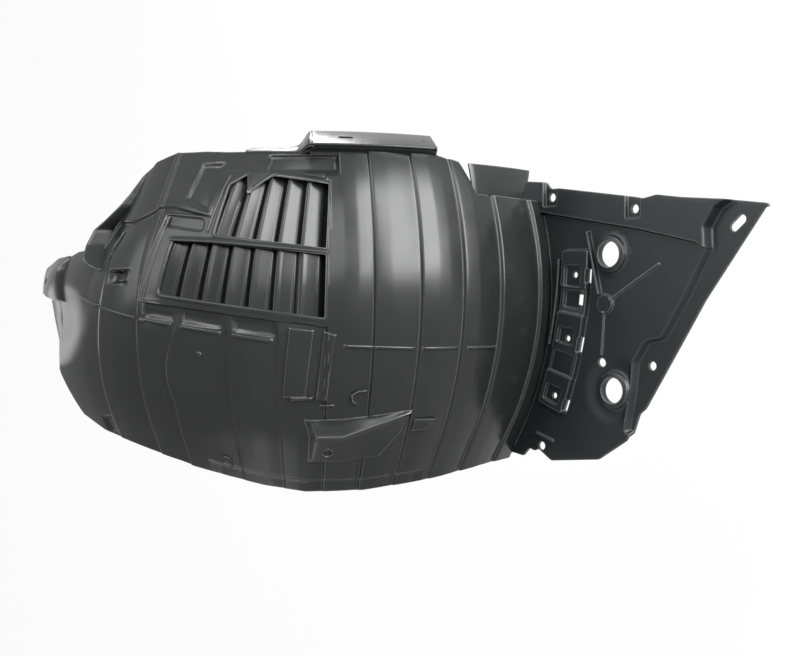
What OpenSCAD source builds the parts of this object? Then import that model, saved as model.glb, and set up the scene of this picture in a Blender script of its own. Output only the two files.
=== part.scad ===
// Wheel arch liner, front section, for the right-hand front wheel.
// X points forward, Y inboard and Z up, and the wheel axis is the Y axis.
// Angles are measured from straight above the wheel axis, positive to the front.

/* [Arch shell] */
// Outer radius of the arch on its crown line
arch_r = 370; // [350:5:390]
// Thickness of the moulded wall
wall = 3; // [2.5:0.25:3.5]
// Radius of the cross-section above the wheel
rear_section_r = 200; // [190:5:230]
// Radius of the cross-section in front of the wheel
front_section_r = 340; // [320:5:360]
// Steepest side slope of the cross-section, in degrees
side_slope = 30; // [26:1:33]
// Place of the crown line across the wheel at the rear end
rear_crown_y = -20; // [-30:1:-10]
// Place of the crown line across the wheel at the front end
front_crown_y = 40; // [30:1:50]
// Width of the lip that bolts to the wing edge
lip_w = 13; // [10:1:16]
// Depth of the step down to that lip
lip_step = 3; // [2:0.5:4]
// Height of the raised inboard shoulder at the rear
shoulder_step = 4; // [2:0.5:5]

/* [Ribs] */
// Height of the front ribs
front_rib_h = 3.5; // [2:0.5:4.5]
// Height of the rear ribs
rear_rib_h = 1.5; // [1:0.25:2.5]
// Width of a rib's riser, in degrees
riser_deg = 0.4; // [0.3:0.05:0.6]
// Sideways swing of the wavy rib, in degrees
wave_deg = 1.7; // [1:0.1:2]
// Height of the long seam bead
bead_h = 1.5; // [1:0.25:2]
// Width of the long seam bead
bead_w = 3; // [2:0.5:4]

/* [Louvres] */
// Height of the louvre frame above the shell
frame_h = 3; // [2:0.5:4]
// Height of the rim around each louvre window
rim_h = 5; // [4.5:0.5:6.5]
// Thickness of the rim
rim_t = 3; // [2.5:0.25:3.5]
// Depth of the louvre windows' side walls
louvre_depth = 17; // [16:0.5:20]
// Depth of a blade at the end of its flat
blade_drop = 8; // [6:0.5:9]
// Depth of a blade's tail under the next blade
tail_drop = 13; // [12:0.5:14]
// Thickness of a blade
blade_t = 2.2; // [1.8:0.1:2.6]
// Number of blades in the upper row
upper_blades = 5; // [4:1:6]
// Number of blades in the lower row
lower_blades = 7; // [6:1:8]

/* [Splash plate] */
// Height of the splash plate's top face, below the wheel axis
plate_drop = 69; // [64:1:74]
// Rise of the inboard flange above the plate
flange_rise = 7; // [6:0.5:8]
// Depth of the front channel below the plate
channel_drop = 8; // [6:0.5:10]
// Radius of the two large access holes
access_r = 15; // [12:0.5:17]
// Height of the collars around the access holes
collar_h = 5; // [3:0.5:7]
// Radius of the clip holes
clip_r = 5; // [4:0.25:5.5]
// Radius of the hub disc
hub_r = 11; // [9:0.5:13]

/* [Deflector strip] */
// Radius of the strip's inner edge in plan
strip_r = 509; // [505:1:512]
// Width of the strip that carries the tyre deflector
strip_w = 39; // [36:1:42]
// Height of the strip above the plate
strip_h = 8; // [6:0.5:10]
// Depth of the clip recesses in the strip
recess_d = 3.5; // [3:0.5:4]
// Drop of the strip's low stretches
strip_dip = 2.5; // [1.5:0.5:3]
// Radial width of the slots through the strip's outer edge
slot_w = 2.5; // [2:0.25:4]
// Radial width of the slot inside the strip
inner_slot_w = 8.5; // [7:0.5:10]

/* [Brackets] */
// Rise of the inboard bracket's lip above the shell edge
bracket_rise = 12; // [10:0.5:14]
// Depth of the inboard bracket's face
bracket_d = 48; // [40:1:54]
// Slope of the bracket's face away from the radial direction, in degrees
bracket_lean = 25; // [20:1:30]
// Height of the screw boss at its ridge
boss_h = 13; // [10:0.5:15]
// Radius of the holes in the boss, the bracket and the rear flange
screw_r = 4; // [3:0.25:4.5]
// Height of the rear flange's tab above the rear edge
joggle = 8; // [6:0.5:10]

/* [Hidden] */
$fn = 48;

// Angles of the ribs, rear to front, and how many of them are low
rib_at = [9.3, 18.3, 25, 35.5, 44.2, 52.5, 60.7, 69.2, 77.7, 86.2, 97];
low_ribs = 5;
// Flat chamfer across the rear end: its height above the axis, and its slopes along X and Y
chamfer_z = arch_r - 4.6;
chamfer_slope = [0.08, -0.079];
// Rear edge of the shell, as Y and angle
rear_edge = [[-60, -3.5], [-50, -3.6], [-21, -2.8], [5, -3.2], [27, -4.6], [69, -8.4],
    [80, -6], [88, -2]];
// Angles between which the section changes from rear to front
section_from = 5;
section_to = 50;

// Outline across the wheel, as angle and Y: inboard edge, outboard edge, shoulder line
inboard = [[-3, 84], [4, 88], [6.5, 121], [8.8, 133], [10.5, 172], [12.5, 188], [18.4, 197],
    [33, 193], [46, 190], [75, 191], [80, 184], [82.5, 147], [110, 145]];
outboard = [[-3, -60], [0.7, -108], [5.5, -126], [11, -136], [18, -150], [32, -175], [40, -186],
    [49, -194], [62, -194], [74, -187], [92, -172], [110, -163]];
shoulder = [[-3, 60], [4, 70], [7.5, 116], [13, 114], [17, 122], [19.5, 130], [23, 129],
    [31, 117], [60, 112], [110, 108]];
shoulder_end = 32;

function blend(x, x0, x1, a, b) = a + (b - a) * max(0, min(1, (x - x0) / (x1 - x0)));
function section_r(th) = blend(th, section_from, section_to, rear_section_r, front_section_r);
function crown_y(th) = blend(th, section_from, 60, rear_crown_y, front_crown_y);
function round_half(r) = r * sin(side_slope);
function drop(d, r) = d < round_half(r)
    ? r - sqrt(r * r - d * d)
    : r * (1 - cos(side_slope)) + (d - round_half(r)) * tan(side_slope);
// Radius of the smooth shell at an angle and a place across the wheel
function round_r(th, y) = arch_r - drop(abs(y - crown_y(th)), section_r(th));
function chamfer_r(th, y) = (chamfer_z + chamfer_slope[1] * y) / (cos(th) - chamfer_slope[0] * sin(th));
function base_r(th, y) = th < 8 ? min(round_r(th, y), chamfer_r(th, y)) : round_r(th, y);
function polar(th, y, r) = [r * sin(th), y, r * cos(th)];
function at(th, y, off) = polar(th, y, base_r(th, y) + off);
function edge(table, th) = lookup(th, table);

// A closed skin between an upper and a lower grid of points
function quad(a, b, c, d) = [[a, b, c], [a, c, d]];
function skin_faces(n, m) = let(
        k = n * m,
        upper = [for (i = [0:n - 2], j = [0:m - 2])
            each quad(i * m + j, i * m + j + 1, (i + 1) * m + j + 1, (i + 1) * m + j)],
        lower = [for (f = upper) [for (p = [2:-1:0]) k + f[p]]],
        outer = [for (i = [0:n - 2]) each quad(i * m, (i + 1) * m, k + (i + 1) * m, k + i * m)],
        inner = [for (i = [0:n - 2]) each quad((i + 2) * m - 1, (i + 1) * m - 1,
            k + (i + 1) * m - 1, k + (i + 2) * m - 1)],
        start = [for (j = [0:m - 2]) each quad(j + 1, j, k + j, k + j + 1)],
        end = [for (j = [0:m - 2]) each quad((n - 1) * m + j, (n - 1) * m + j + 1,
            k + (n - 1) * m + j + 1, k + (n - 1) * m + j)]
    ) concat(upper, lower, outer, inner, start, end);
module skin(upper, lower) {
    polyhedron(points = concat([for (row = upper) each row], [for (row = lower) each row]),
        faces = skin_faces(len(upper), len(upper[0])), convexity = 10);
}

// A patch of the shell between four corners given as angle and Y, from offset lo to offset hi.
// Each offset is one number or one for each corner.
function four(v) = is_list(v) ? v : [v, v, v, v];
function inside(c, u, v) = (c[0] * (1 - u) + c[1] * u) * (1 - v) + (c[3] * (1 - u) + c[2] * u) * v;
function patch_grid(c, off, n, m) = [for (i = [0:n]) [for (j = [0:m])
    let(p = inside(c, i / n, j / m)) at(p[0], p[1], inside(four(off), i / n, j / m))]];
module patch(c, lo, hi, n = 2, m = 2) {
    skin(patch_grid(c, hi, n, m), patch_grid(c, lo, n, m));
}
// The same four corners moved outwards by a distance
function deg(mm) = mm / arch_r * 180 / PI;
function grow(c, g) = [
    c[0] + [-deg(g), -g], c[1] + [deg(g), -g], c[2] + [deg(g), g], c[3] + [-deg(g), g]];

// Ribbed shell: each line across the arch is an angle with the height of the rib profile there
riser_rows = [for (i = [0:len(rib_at) - 2])
    let(a = rib_at[i], gap = rib_at[i + 1] - a, h = i < low_ribs ? rear_rib_h : front_rib_h)
    each [[a, 0], [a + riser_deg, h], [a + 0.4 * gap, h], [a + 0.7 * gap, h * 0.6]]];
last_rib = rib_at[len(rib_at) - 1];
lines = concat(
    [for (th = [-1, 2, 4, 6.4, 8.6]) [th, 0]],
    riser_rows,
    [[last_rib, 0], [last_rib + riser_deg, front_rib_h], [last_rib + 2, front_rib_h]]);
wavy = rib_at[2];
function near_wavy(th) = max(0, 1 - abs(th - wavy - 1) / 3);
function wave(th, y) = near_wavy(th) * wave_deg
    * (y > 13 ? 1 : y < -94 ? -0.4 : -cos(180 * (y + 62) / 75));
// Ribs stop under the louvre panel
function rib_fade(th, y) = th > 20 && th < 52 ? blend(y, -10, 8, 1, 0) : 1;
function lip_fade(th) = blend(th, 29, 31, 0, 1) * blend(th, 74, 76, 1, 0);
function shoulder_fade(th) = blend(th, 4, 7.5, 0, 1) * blend(th, 30, shoulder_end, 1, 0);
lower_cols = 6;
upper_cols = 4;
// Places across the wheel at an angle, each with its own height: lip, main part and shoulder
function columns(th) = let(
        a = edge(outboard, th), b = edge(shoulder, th), c = edge(inboard, th),
        first = a + lip_w + 2, low = -lip_step * lip_fade(th), high = shoulder_step * shoulder_fade(th)
    ) concat(
        [[a, low], [a + lip_w, low]],
        [for (k = [0:lower_cols]) [first + (b - 2 - first) * k / lower_cols, 0]],
        [for (k = [0:upper_cols]) [b + 3 + (c - b - 3) * k / upper_cols, high]]);
function shell_row(th, h, off) = [for (c = columns(th))
    at(th + wave(th, c[0]), c[0], h * rib_fade(th, c[0]) + c[1] + off)];
// The rear row lies on the rear edge, and the front row ends inside the splash plate
function rear_row(off) = [for (c = columns(-3)) at(lookup(c[0], rear_edge), c[0], c[1] + off)];
foot_z = plate_drop + wall / 2;
function foot_row(off) = [for (c = columns(102))
    let(r = base_r(102, c[0]) + front_rib_h + off) polar(90 + asin(foot_z / r), c[0], r)];
module shell() {
    skin(
        concat([rear_row(0)], [for (l = lines) shell_row(l[0], l[1], 0)], [foot_row(0)]),
        concat([rear_row(-wall)], [for (l = lines) shell_row(l[0], l[1], -wall)], [foot_row(-wall)]));
}

// How deep a bead, boss or mark sinks into the shell
foot_lap = 0.4;

// Long seam bead in lengths between the ribs, each with the height of the shell under it
bead_runs = [[2.6, 9.1, 0], [8.8, 17.9, 1], [19.2, 25.4, 1], [27.2, 34.6, 1], [36.6, 43.6, 1],
    [55.6, 69, 2.6], [69.6, 77.4, 2.6], [79, 86, 2.6]];
bead_line = [[2.6, 31], [9, 18], [17.5, 5], [26, -4], [34.8, -13], [43.3, -21], [55, -27], [69, -30],
    [90, -29]];
module seam_bead() {
    half = [0, bead_w / 2];
    for (run = bead_runs)
        let(a = [run[0], edge(bead_line, run[0])], b = [run[1], edge(bead_line, run[1])])
            patch([a - half, b - half, b + half, a + half], -foot_lap, run[2] + bead_h, 4, 1);
}

// Louvre windows: corners in the order lower rear, lower front, upper front, upper rear
lower_window = [[23, 31], [52.3, 4], [52.6, 73], [24.8, 91]];
upper_window = [[33, 96], [52.6, 80], [53.3, 152], [35.4, 162]];
// Flush covers that step the top of the upper window down over the first blades
window_covers = [
    [[34, 151], [38, 160], [38, 166], [34, 165]],
    [[38.3, 139], [42.3, 156], [42.3, 164], [38.2, 165]],
    [[42.2, 141], [43.2, 144], [43.2, 163], [42.2, 164]]
];
// Thin ridge along the rear side of the frame
frame_ridge = [[18.4, 21.6], [19.1, 21], [21.8, 121], [21.1, 121.6]];
frame = [[20, 21], [53.6, -7], [54.2, 158], [22.5, 119]];
upper_frame = [[31.6, 92], [53.9, 78], [54.5, 159], [33.8, 172]];
// Share of the pitch that a blade's flat takes, at the rear and at the front
blade_flat = [0.6, 0.74];
tail_reach = 0.42;
module blade_row(c, count) {
    for (k = [0:count - 1]) {
        flat_end = k + blend(k, 0, count - 1, blade_flat[0], blade_flat[1]);
        tail_end = min(count, k + 1) + (k == count - 1 ? 0.1 : tail_reach - 0.3);
        blade(c, k / count, flat_end / count, -0.5, -blade_drop);
        blade(c, flat_end / count, tail_end / count, -blade_drop, -tail_drop);
    }
}
module blade(c, u0, u1, off0, off1) {
    run = (off1 - off0) / (u1 - u0) * 0.004;
    end = u1 + 0.004;
    patch([inside(c, u0, -0.02), inside(c, end, -0.02), inside(c, end, 1.02), inside(c, u0, 1.02)],
        [off0, off1 + run, off1 + run, off0] - four(blade_t), [off0, off1 + run, off1 + run, off0], 1, 4);
}

// Pockets in the shell: corners and depth
pockets = [
    [[[25.2, 135], [31, 119], [32.6, 181], [27, 181]], 4],
    [[[22, 108], [30.6, 99.5], [30.6, 114], [21.6, 121]], 3],
    [[[42, 164], [55.2, 164], [55.4, 187], [41.7, 187]], 4],
    [[[27.4, -3], [35, -9], [35, 6], [27.4, 12]], 3],
    [[[36.6, -11], [43.4, -17], [43.4, -1], [36.6, 5]], 3],
    [[[45.4, -18], [51.8, -23], [51.8, -8], [45.4, -3]], 3],
    [[[10.9, 44], [15.4, 44], [15.1, 58], [10.8, 58]], 5],
    [[[6.4, -124], [9, -128], [9, -108], [6.4, -108]], 4]
];
module pocket_outers() {
    for (p = pockets) patch(grow(p[0], wall), -p[1] - wall, -0.8);
}
module pocket_inners() {
    for (p = pockets) patch(p[0], -p[1], 12);
}

// Raised flat under the louvres
pad = [[44.8, -84], [49.6, -84], [51, -8], [46.2, -5]];
// Screw boss: rows of points from the outboard side inwards, with their heights
boss_at = [
    [[50.4, -158], [56.6, -158], [64.3, -153]],
    [[51.2, -129], [56.4, -129], [68, -122]],
    [[49.6, -106], [56.6, -106], [68.2, -104]]
];
boss_tops = [[4, 4, 2], [boss_h, boss_h, 4], [1, 1, 1]];
module boss() {
    skin([for (i = [0:2]) [for (j = [0:2]) at(boss_at[j][i][0], boss_at[j][i][1], boss_tops[j][i])]],
        [for (i = [0:2]) [for (j = [0:2]) at(boss_at[j][i][0], boss_at[j][i][1], -foot_lap)]]);
}
module boss_core() {
    under = wall + 1;
    patch(grow([boss_at[0][0], boss_at[0][1], boss_at[1][1], boss_at[1][0]], -wall),
        -wall - 2, [4, 4, boss_h, boss_h] - four(under), 1, 1);
}
module small_marks() {
    patch(pad, -foot_lap, frame_h, 1, 4);
    patch([[70, -130], [75, -118], [75.4, -111], [70, -122]], -foot_lap, 6, 2, 1);
    patch([[46.4, -87], [50.6, -87], [50.6, -84.5], [46.4, -84.5]], -foot_lap, 4, 1, 1);
    patch([[51.8, -95], [54.2, -95], [54.2, -92.5], [51.8, -92.5]], -foot_lap, 4, 1, 1);
    standing(59.2, -78, -foot_lap) cylinder(r = 3, h = 6);
    standing(30.6, -36, -1.5) sphere(r = 3);
    standing(32.8, -159, -wall) cylinder(r = 8, h = wall + 3);
}
// Stands its children on the shell, with their Z axis along the radius
module standing(th, y, off) {
    rotate([0, th, 0]) translate([0, y, base_r(th, y) + off]) children();
}

// Rear flange: a tab that stands above the rear edge, the step that carries it,
// and a narrow strip below them. Each is a grid of angle and Y, from the tip to the root.
tab_rows = [[[-12, 35], [-16, 66]], [[-9.6, 31], [-12, 76]], [[-4.7, 25], [-8.7, 71]]];
strip_rows = [[[-4.3, -57], [-4.6, -21], [-9.6, 31]], [[-3.4, -57], [-2.7, -20], [-4.6, 28]]];
module sheet(rows, off) {
    skin([for (row = rows) [for (p = row) at(p[0], p[1], off)]],
        [for (row = rows) [for (p = row) at(p[0], p[1], off - wall)]]);
}
module rear_flange() {
    tab_top = joggle - 4;
    sheet([for (row = tab_rows) [for (k = [0:3]) row[0] + (row[1] - row[0]) * k / 3]], tab_top);
    patch([[-5.4, 25], [-4.5, 25], [-8.3, 71], [-9.2, 71]], -wall, tab_top - 0.5, 1, 4);
    sheet(strip_rows, -1.2);
}

// Upright flange that stands on the rear inboard edge: Y, angle of its foot, and height
fin_line = [[66, 6.2, 12], [74, 5.6, 17], [90, 4.8, 18], [108, 4.9, 18], [119, 7, 18], [135, 9.5, 16],
    [150, 10.4, 13], [172, 10.6, 8], [189, 12.8, 3]];
fin_lean = 1.2;
function fin_face(shift) = [
    [for (p = fin_line) at(p[1] + shift, p[0], -wall / 2)],
    [for (p = fin_line) at(p[1] + shift - fin_lean * p[2] / fin_line[2][2], p[0], p[2])]];
module rear_fin() {
    skin(fin_face(0), fin_face(deg(wall)));
}

// Tab that stands on the arch's inboard front edge
module tab() {
    patch([[82.2, 143], [101, 141], [101.3, 184], [80.6, 183]],
        [-1 - wall, -1 - wall, -9 - wall, -9 - wall], [-1, -1, -9, -9], 4, 2);
}

// Turns a profile of radius and Y about the wheel axis between two angles
module around(th0, th1) {
    rotate([90, 0, 0])
        rotate([0, 0, 90 - th1])
            rotate_extrude(angle = th1 - th0)
                mirror([0, 1])
                    children();
}
bracket_from = 50;
bracket_to = 76;
bracket_y = 189;
edge_r = base_r(60, bracket_y);
ridge = [edge_r + bracket_rise, bracket_y + 8];
bracket_end = ridge + bracket_d * [-cos(bracket_lean), sin(bracket_lean)];
// Direction away from the bracket's face, as radius and Y
face_n = [sin(bracket_lean), cos(bracket_lean)];
module bracket() {
    around(bracket_from, bracket_to)
        polygon([[edge_r - wall, bracket_y - 4], [edge_r, bracket_y - 4], [edge_r + 1, bracket_y], ridge,
            bracket_end, bracket_end - wall * face_n, ridge - wall * face_n - [wall, 0],
            [edge_r - wall, bracket_y]]);
    around(37, bracket_from + 0.5)
        polygon([[edge_r - 14, bracket_y - 5], [edge_r - 11, bracket_y - 5], [edge_r - 12, bracket_y + 5],
            [edge_r - 34, bracket_y + 17], [edge_r - 37, bracket_y + 15], [edge_r - 15, bracket_y + 2]]);
}
// Stands its children on the bracket's face, at an angle and a distance from the ridge
module on_bracket(th, d) {
    p = ridge + d * [-cos(bracket_lean), sin(bracket_lean)];
    rotate([0, th, 0]) translate([0, p[1], p[0]]) rotate([bracket_lean - 90, 0, 0]) children();
}

// Splash plate: outline and level lines. X is measured ahead of the arch's outer radius.
plate_z = -plate_drop;
inboard_edge = [[-46, 172], [-10, 168], [-3, 160], [14, 159], [114, 143], [135, 139], [153, 142],
    [185, 137], [243, 131], [284, 125], [287, 121]];
front_edge = [[282, 121], [208, 24], [175, -27], [128, -99], [120, -105], [108, -108]];
lobe_edge = [[110, -131], [107, -136], [67, -160], [-4, -166], [-9, -163], [-24, -153], [-30, -156],
    [-38, -153], [-48, -163], [-64, -160]];
flange_line = [[-52, 139], [13, 126], [129, 104], [204, 86], [216, 79]];
channel_line = [[243, 131], [228, 123], [215, 103], [216, 79], [184, 24], [155, -19], [133, -23],
    [118, -45], [114, -80], [108, -108]];
// Plan of the arch's foot, which the plate starts from
function foot_x(y) = let(r = base_r(102, y) + front_rib_h - wall)
    sqrt(r * r - foot_z * foot_z) - 1 - arch_r;
foot_line = [for (y = [-160:20:140]) [foot_x(y), y]];
flange_plan = concat([[foot_x(139) - 1, 139]], flange_line, [for (k = [2:-1:0]) channel_line[k]],
    [for (k = [len(inboard_edge) - 4:-1:0]) inboard_edge[k]]);
channel_plan = concat(channel_line, [for (k = [len(front_edge) - 2:-1:0]) front_edge[k]],
    [inboard_edge[10], inboard_edge[9]]);
main_plan = concat(foot_line, flange_line, [for (k = [4:len(channel_line) - 1]) channel_line[k]], lobe_edge);
// A band of constant width beside a line of points
function unit(v) = v / norm(v);
function tangent(p, k) = unit(
    (k < len(p) - 1 ? unit(p[k + 1] - p[k]) : [0, 0]) + (k > 0 ? unit(p[k] - p[k - 1]) : [0, 0]));
function beside(p, w) = [for (k = [0:len(p) - 1]) let(t = tangent(p, k)) p[k] + w * [-t[1], t[0]]];
function band(p, w0, w1) = let(a = beside(p, w0), b = beside(p, w1))
    concat(a, [for (k = [len(b) - 1:-1:0]) b[k]]);
module level(plan, z0, z1) {
    translate([0, 0, z0]) linear_extrude(z1 - z0) polygon(plan);
}
module plate() {
    level(main_plan, plate_z - wall, plate_z);
    level(flange_plan, plate_z + flange_rise - wall, plate_z + flange_rise);
    level(band(flange_line, -0.5, wall), plate_z - wall, plate_z + flange_rise);
    level(channel_plan, plate_z - channel_drop - wall, plate_z - channel_drop);
    level(band(concat(channel_line, [channel_line[9] - [0.3, 1.4]]), -wall, 0.5),
        plate_z - channel_drop - wall, plate_z);
    level(band([for (k = [0:3]) channel_line[k]], 0.5 - wall, 1), plate_z - wall, plate_z + flange_rise);
}

// Collars, pads and ribs on the plate, in the plate's X and Y
access_at = [[86, 78], [89, -79]];
pad_at = [[0, 149], [121, 128]];
clip_at = [[72, -47], [-18, -149]];
channel_hole = [138, -50];
end_slot = [249, 105.5];
end_slot_l = 12;
hub_at = [78, 21];
clip_pad = [26, 27];
module collars() {
    for (p = access_at)
        translate([p[0], p[1], plate_z - 1]) rotate_extrude()
            polygon([[access_r - 2, 0], [access_r + 8, 0], [access_r + 5, collar_h],
                [access_r + 1, collar_h + 1], [access_r - 2, collar_h + 1]]);
}
module pads() {
    for (p = pad_at)
        translate([p[0] - clip_pad[0] / 2, p[1] - clip_pad[1] / 2, plate_z - wall / 2])
            cube([clip_pad[0], clip_pad[1], flange_rise + wall / 2 - 0.5]);
}
module pad_recesses() {
    for (p = pad_at)
        translate([p[0] - clip_pad[0] / 2 + wall, p[1] - clip_pad[1] / 2 + wall, plate_z + 2])
            cube([clip_pad[0] - 2 * wall, clip_pad[1], flange_rise + 10]);
}
module rib(a, b, w, h) {
    level(band([a, b], -w / 2, w / 2), plate_z - 1, plate_z + h);
}
module plate_ribs() {
    rib([54, 106], [71, 32], 3, 6);
    rib([85, 26], [153, 65], 2, 2.5);
    rib([76, 12], [72, -38], 2, 2.5);
    rib([-26, -133], [0, -142], 2.5, 2.5);
    translate([hub_at[0], hub_at[1], plate_z - 1]) cylinder(r = hub_r, h = 4);
}

// Deflector strip: sectors about its own centre in plan, by radius and angle.
// The middle of its inner edge keeps its place ahead of the arch at any radius.
strip_ahead = 19;
strip_centre = [strip_ahead - strip_r, 96];
strip_r1 = strip_r + strip_w;
strip_top = plate_z + strip_h;
arc_step = 1.5;
function arc(r, a0, a1) = let(n = ceil((a1 - a0) / arc_step))
    [for (k = [0:n]) let(a = a0 + (a1 - a0) * k / n) r * [cos(a), sin(a)]];
module sector(r0, r1, a0, a1, z0, z1) {
    inner = arc(r0, a0, a1);
    translate([strip_centre[0], strip_centre[1], z0]) linear_extrude(z1 - z0)
        polygon(concat(arc(r1, a0, a1), [for (k = [len(inner) - 1:-1:0]) inner[k]]));
}
// Angles of the strip's ends, and of its low stretches
strip_ends = [-22, -1.2];
low_stretches = [[-9.4, -6.1], [-17.3, -14.3]];
high_stretches = [[-6.1, -1.2], [-14.3, -9.4], [-22, -17.3]];
// Clip recesses as angles, with 1 where the strip is low, and the slots, with 1 for the inner one
recesses = [[-5.9, -3.3, 0], [-8.7, -6.5, 1], [-13.3, -11.3, 0], [-21.2, -19.1, 0]];
slots = [[-5.3, -3.6, 0], [-8.1, -6.8, 1], [-13.9, -12, 0], [-21.6, -20.1, 0]];
inner_slot_inset = 4;
clip_angles = [-4.4, -12.6, -20.3];
edge_deg = wall / strip_r * 180 / PI;
module strip_block() {
    sector(strip_r, strip_r1, strip_ends[0], strip_ends[1], plate_z - wall / 2, strip_top);
    sector(strip_r - 5, strip_r - 2.5, -14, -2.4, plate_z - 1, strip_top + 1);
}
module strip_lows() {
    for (a = low_stretches)
        sector(strip_r - 1, strip_r1 + 1, a[0], a[1], strip_top - strip_dip, strip_top + 9);
}
module strip_hollows() {
    low_ceiling = strip_top - wall - strip_dip;
    sector(strip_r + wall, strip_r1 - wall, strip_ends[0] + edge_deg, strip_ends[1] - edge_deg,
        plate_z - wall - 1, low_ceiling);
    for (a = high_stretches)
        sector(strip_r + wall + 1, strip_r1 - wall - 1, a[0] + 2 * edge_deg, a[1] - 2 * edge_deg,
            low_ceiling - 1, strip_top - wall);
}
module recess_bodies() {
    for (a = recesses)
        sector(strip_r + wall - 1, strip_r1 - 7, a[0] - edge_deg, a[1] + edge_deg,
            strip_top - recess_d - wall - a[2] * strip_dip, strip_top - 1 - a[2] * strip_dip);
}
module strip_cuts() {
    for (a = recesses)
        sector(strip_r + 2 * wall, strip_r1 - 10, a[0], a[1],
            strip_top - recess_d - a[2] * strip_dip, strip_top + 9);
    for (a = slots)
        let(r = strip_r1 - a[2] * inner_slot_inset, w = a[2] == 1 ? inner_slot_w : slot_w)
            sector(r - w, r + 1 - a[2], a[0], a[1], plate_z - wall - 10, strip_top + 9);
    for (a = clip_angles)
        translate([strip_centre[0], strip_centre[1], plate_z - wall - 10])
            rotate([0, 0, a]) translate([strip_r + strip_w / 2, 0, 0]) cylinder(r = clip_r - 1.5, h = 40);
}

module plate_holes() {
    for (p = access_at)
        translate([p[0], p[1], plate_z - 30]) cylinder(r = access_r, h = 60);
    for (p = concat(pad_at, clip_at, [channel_hole]))
        translate([p[0], p[1], plate_z - 30]) cylinder(r = clip_r, h = 60);
    // Round-ended slot at the front corner
    translate([end_slot[0], end_slot[1], plate_z - 30]) rotate([0, 0, 40]) {
        for (s = [-1, 1])
            translate([s * end_slot_l / 2, 0, 0]) cylinder(r = clip_r, h = 60);
        translate([-end_slot_l / 2, -clip_r, 0]) cube([end_slot_l, 2 * clip_r, 60]);
    }
}
module shell_holes() {
    standing(-8.7, 55, -40) cylinder(r = screw_r, h = 60);
    rotate([0, 53.4, 0]) translate([0, -144, base_r(53.4, -144)])
        rotate([65, 0, 0]) translate([0, 0, -20]) cylinder(r = screw_r + 1, h = 60);
    for (d = [-5, 0, 5])
        on_bracket(57 + deg(d), bracket_d / 2) translate([0, 0, -20]) cylinder(r = screw_r, h = 40);
    on_bracket(73.4, bracket_d / 2) translate([0, 0, -20]) cylinder(r = screw_r - 1, h = 40);
}

// Puts the plate ahead of the arch
module plate_place() {
    translate([arch_r, 0, 0]) children();
}
// Splash plate with the hollow strip on it
module strip_plate() {
    difference() {
        union() {
            plate();
            strip_block();
        }
        strip_lows();
        strip_hollows();
    }
    recess_bodies();
}

module liner() {
    color([0.1, 0.1, 0.11]) {
        difference() {
            union() {
                shell();
                seam_bead();
                patch(frame, -wall / 2, frame_h, 8, 4);
                patch(upper_frame, -wall / 2, frame_h + 0.6, 6, 3);
                patch(grow(lower_window, rim_t), -louvre_depth, rim_h, 8, 4);
                patch(grow(upper_window, rim_t), -louvre_depth, rim_h - 0.4, 6, 4);
                patch(frame_ridge, -foot_lap, frame_h - 0.8, 1, 4);
                pocket_outers();
                boss();
                small_marks();
                rear_flange();
                rear_fin();
                tab();
                bracket();
                plate_place() {
                    strip_plate();
                    collars();
                    pads();
                    plate_ribs();
                }
            }
            patch(lower_window, -louvre_depth - 9, rim_h + 9, 8, 4);
            patch(upper_window, -louvre_depth - 9, rim_h + 9, 6, 4);
            pocket_inners();
            boss_core();
            plate_place() {
                pad_recesses();
                plate_holes();
                strip_cuts();
            }
            shell_holes();
        }
        blade_row(lower_window, lower_blades);
        blade_row(upper_window, upper_blades);
        for (k = [0:len(window_covers) - 1])
            patch(window_covers[k], -wall - 0.2 * k, frame_h + 1 - 0.2 * k, 2, 2);
    }
}

liner();
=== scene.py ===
import logging
import math
from collections.abc import Callable, Sequence
from dataclasses import dataclass, field
from enum import Enum

import bpy
import numpy as np
from mathutils import Matrix, Vector
from mathutils.geometry import delaunay_2d_cdt


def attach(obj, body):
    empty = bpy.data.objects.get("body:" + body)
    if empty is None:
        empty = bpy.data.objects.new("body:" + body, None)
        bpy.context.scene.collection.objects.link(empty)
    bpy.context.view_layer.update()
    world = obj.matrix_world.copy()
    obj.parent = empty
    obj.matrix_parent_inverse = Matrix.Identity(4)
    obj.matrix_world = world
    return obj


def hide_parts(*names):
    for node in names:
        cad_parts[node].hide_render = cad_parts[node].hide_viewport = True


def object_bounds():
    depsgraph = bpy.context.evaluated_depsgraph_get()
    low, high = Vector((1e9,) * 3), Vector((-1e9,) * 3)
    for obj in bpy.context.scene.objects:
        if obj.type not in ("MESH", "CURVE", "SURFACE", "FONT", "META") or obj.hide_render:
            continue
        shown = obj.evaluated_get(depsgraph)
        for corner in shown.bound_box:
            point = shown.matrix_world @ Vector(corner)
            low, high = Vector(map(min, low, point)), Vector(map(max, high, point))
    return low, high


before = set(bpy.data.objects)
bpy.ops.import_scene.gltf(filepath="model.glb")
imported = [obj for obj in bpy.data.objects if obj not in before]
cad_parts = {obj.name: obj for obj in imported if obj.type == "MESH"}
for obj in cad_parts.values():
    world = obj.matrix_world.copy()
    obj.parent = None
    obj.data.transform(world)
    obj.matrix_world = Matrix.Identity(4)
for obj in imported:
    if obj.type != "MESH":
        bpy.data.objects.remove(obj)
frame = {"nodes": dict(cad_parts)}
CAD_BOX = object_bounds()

# Sizes are millimetres and degrees, in the car's frame: X forward, Y inboard, Z up, with the origin at the
# wheel centre. A place on the arch is an angle from straight up, a place across the wheel and a height.
MM = 0.001
NODE = "liner"
BODY = "root"
LOG = logging.getLogger("liner")
# Smallest bend, in degrees, that stays a sharp edge.
CREASE = 38.0

Array = np.ndarray
Pair = tuple[float, float]
Place = tuple[float, float, float]


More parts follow.
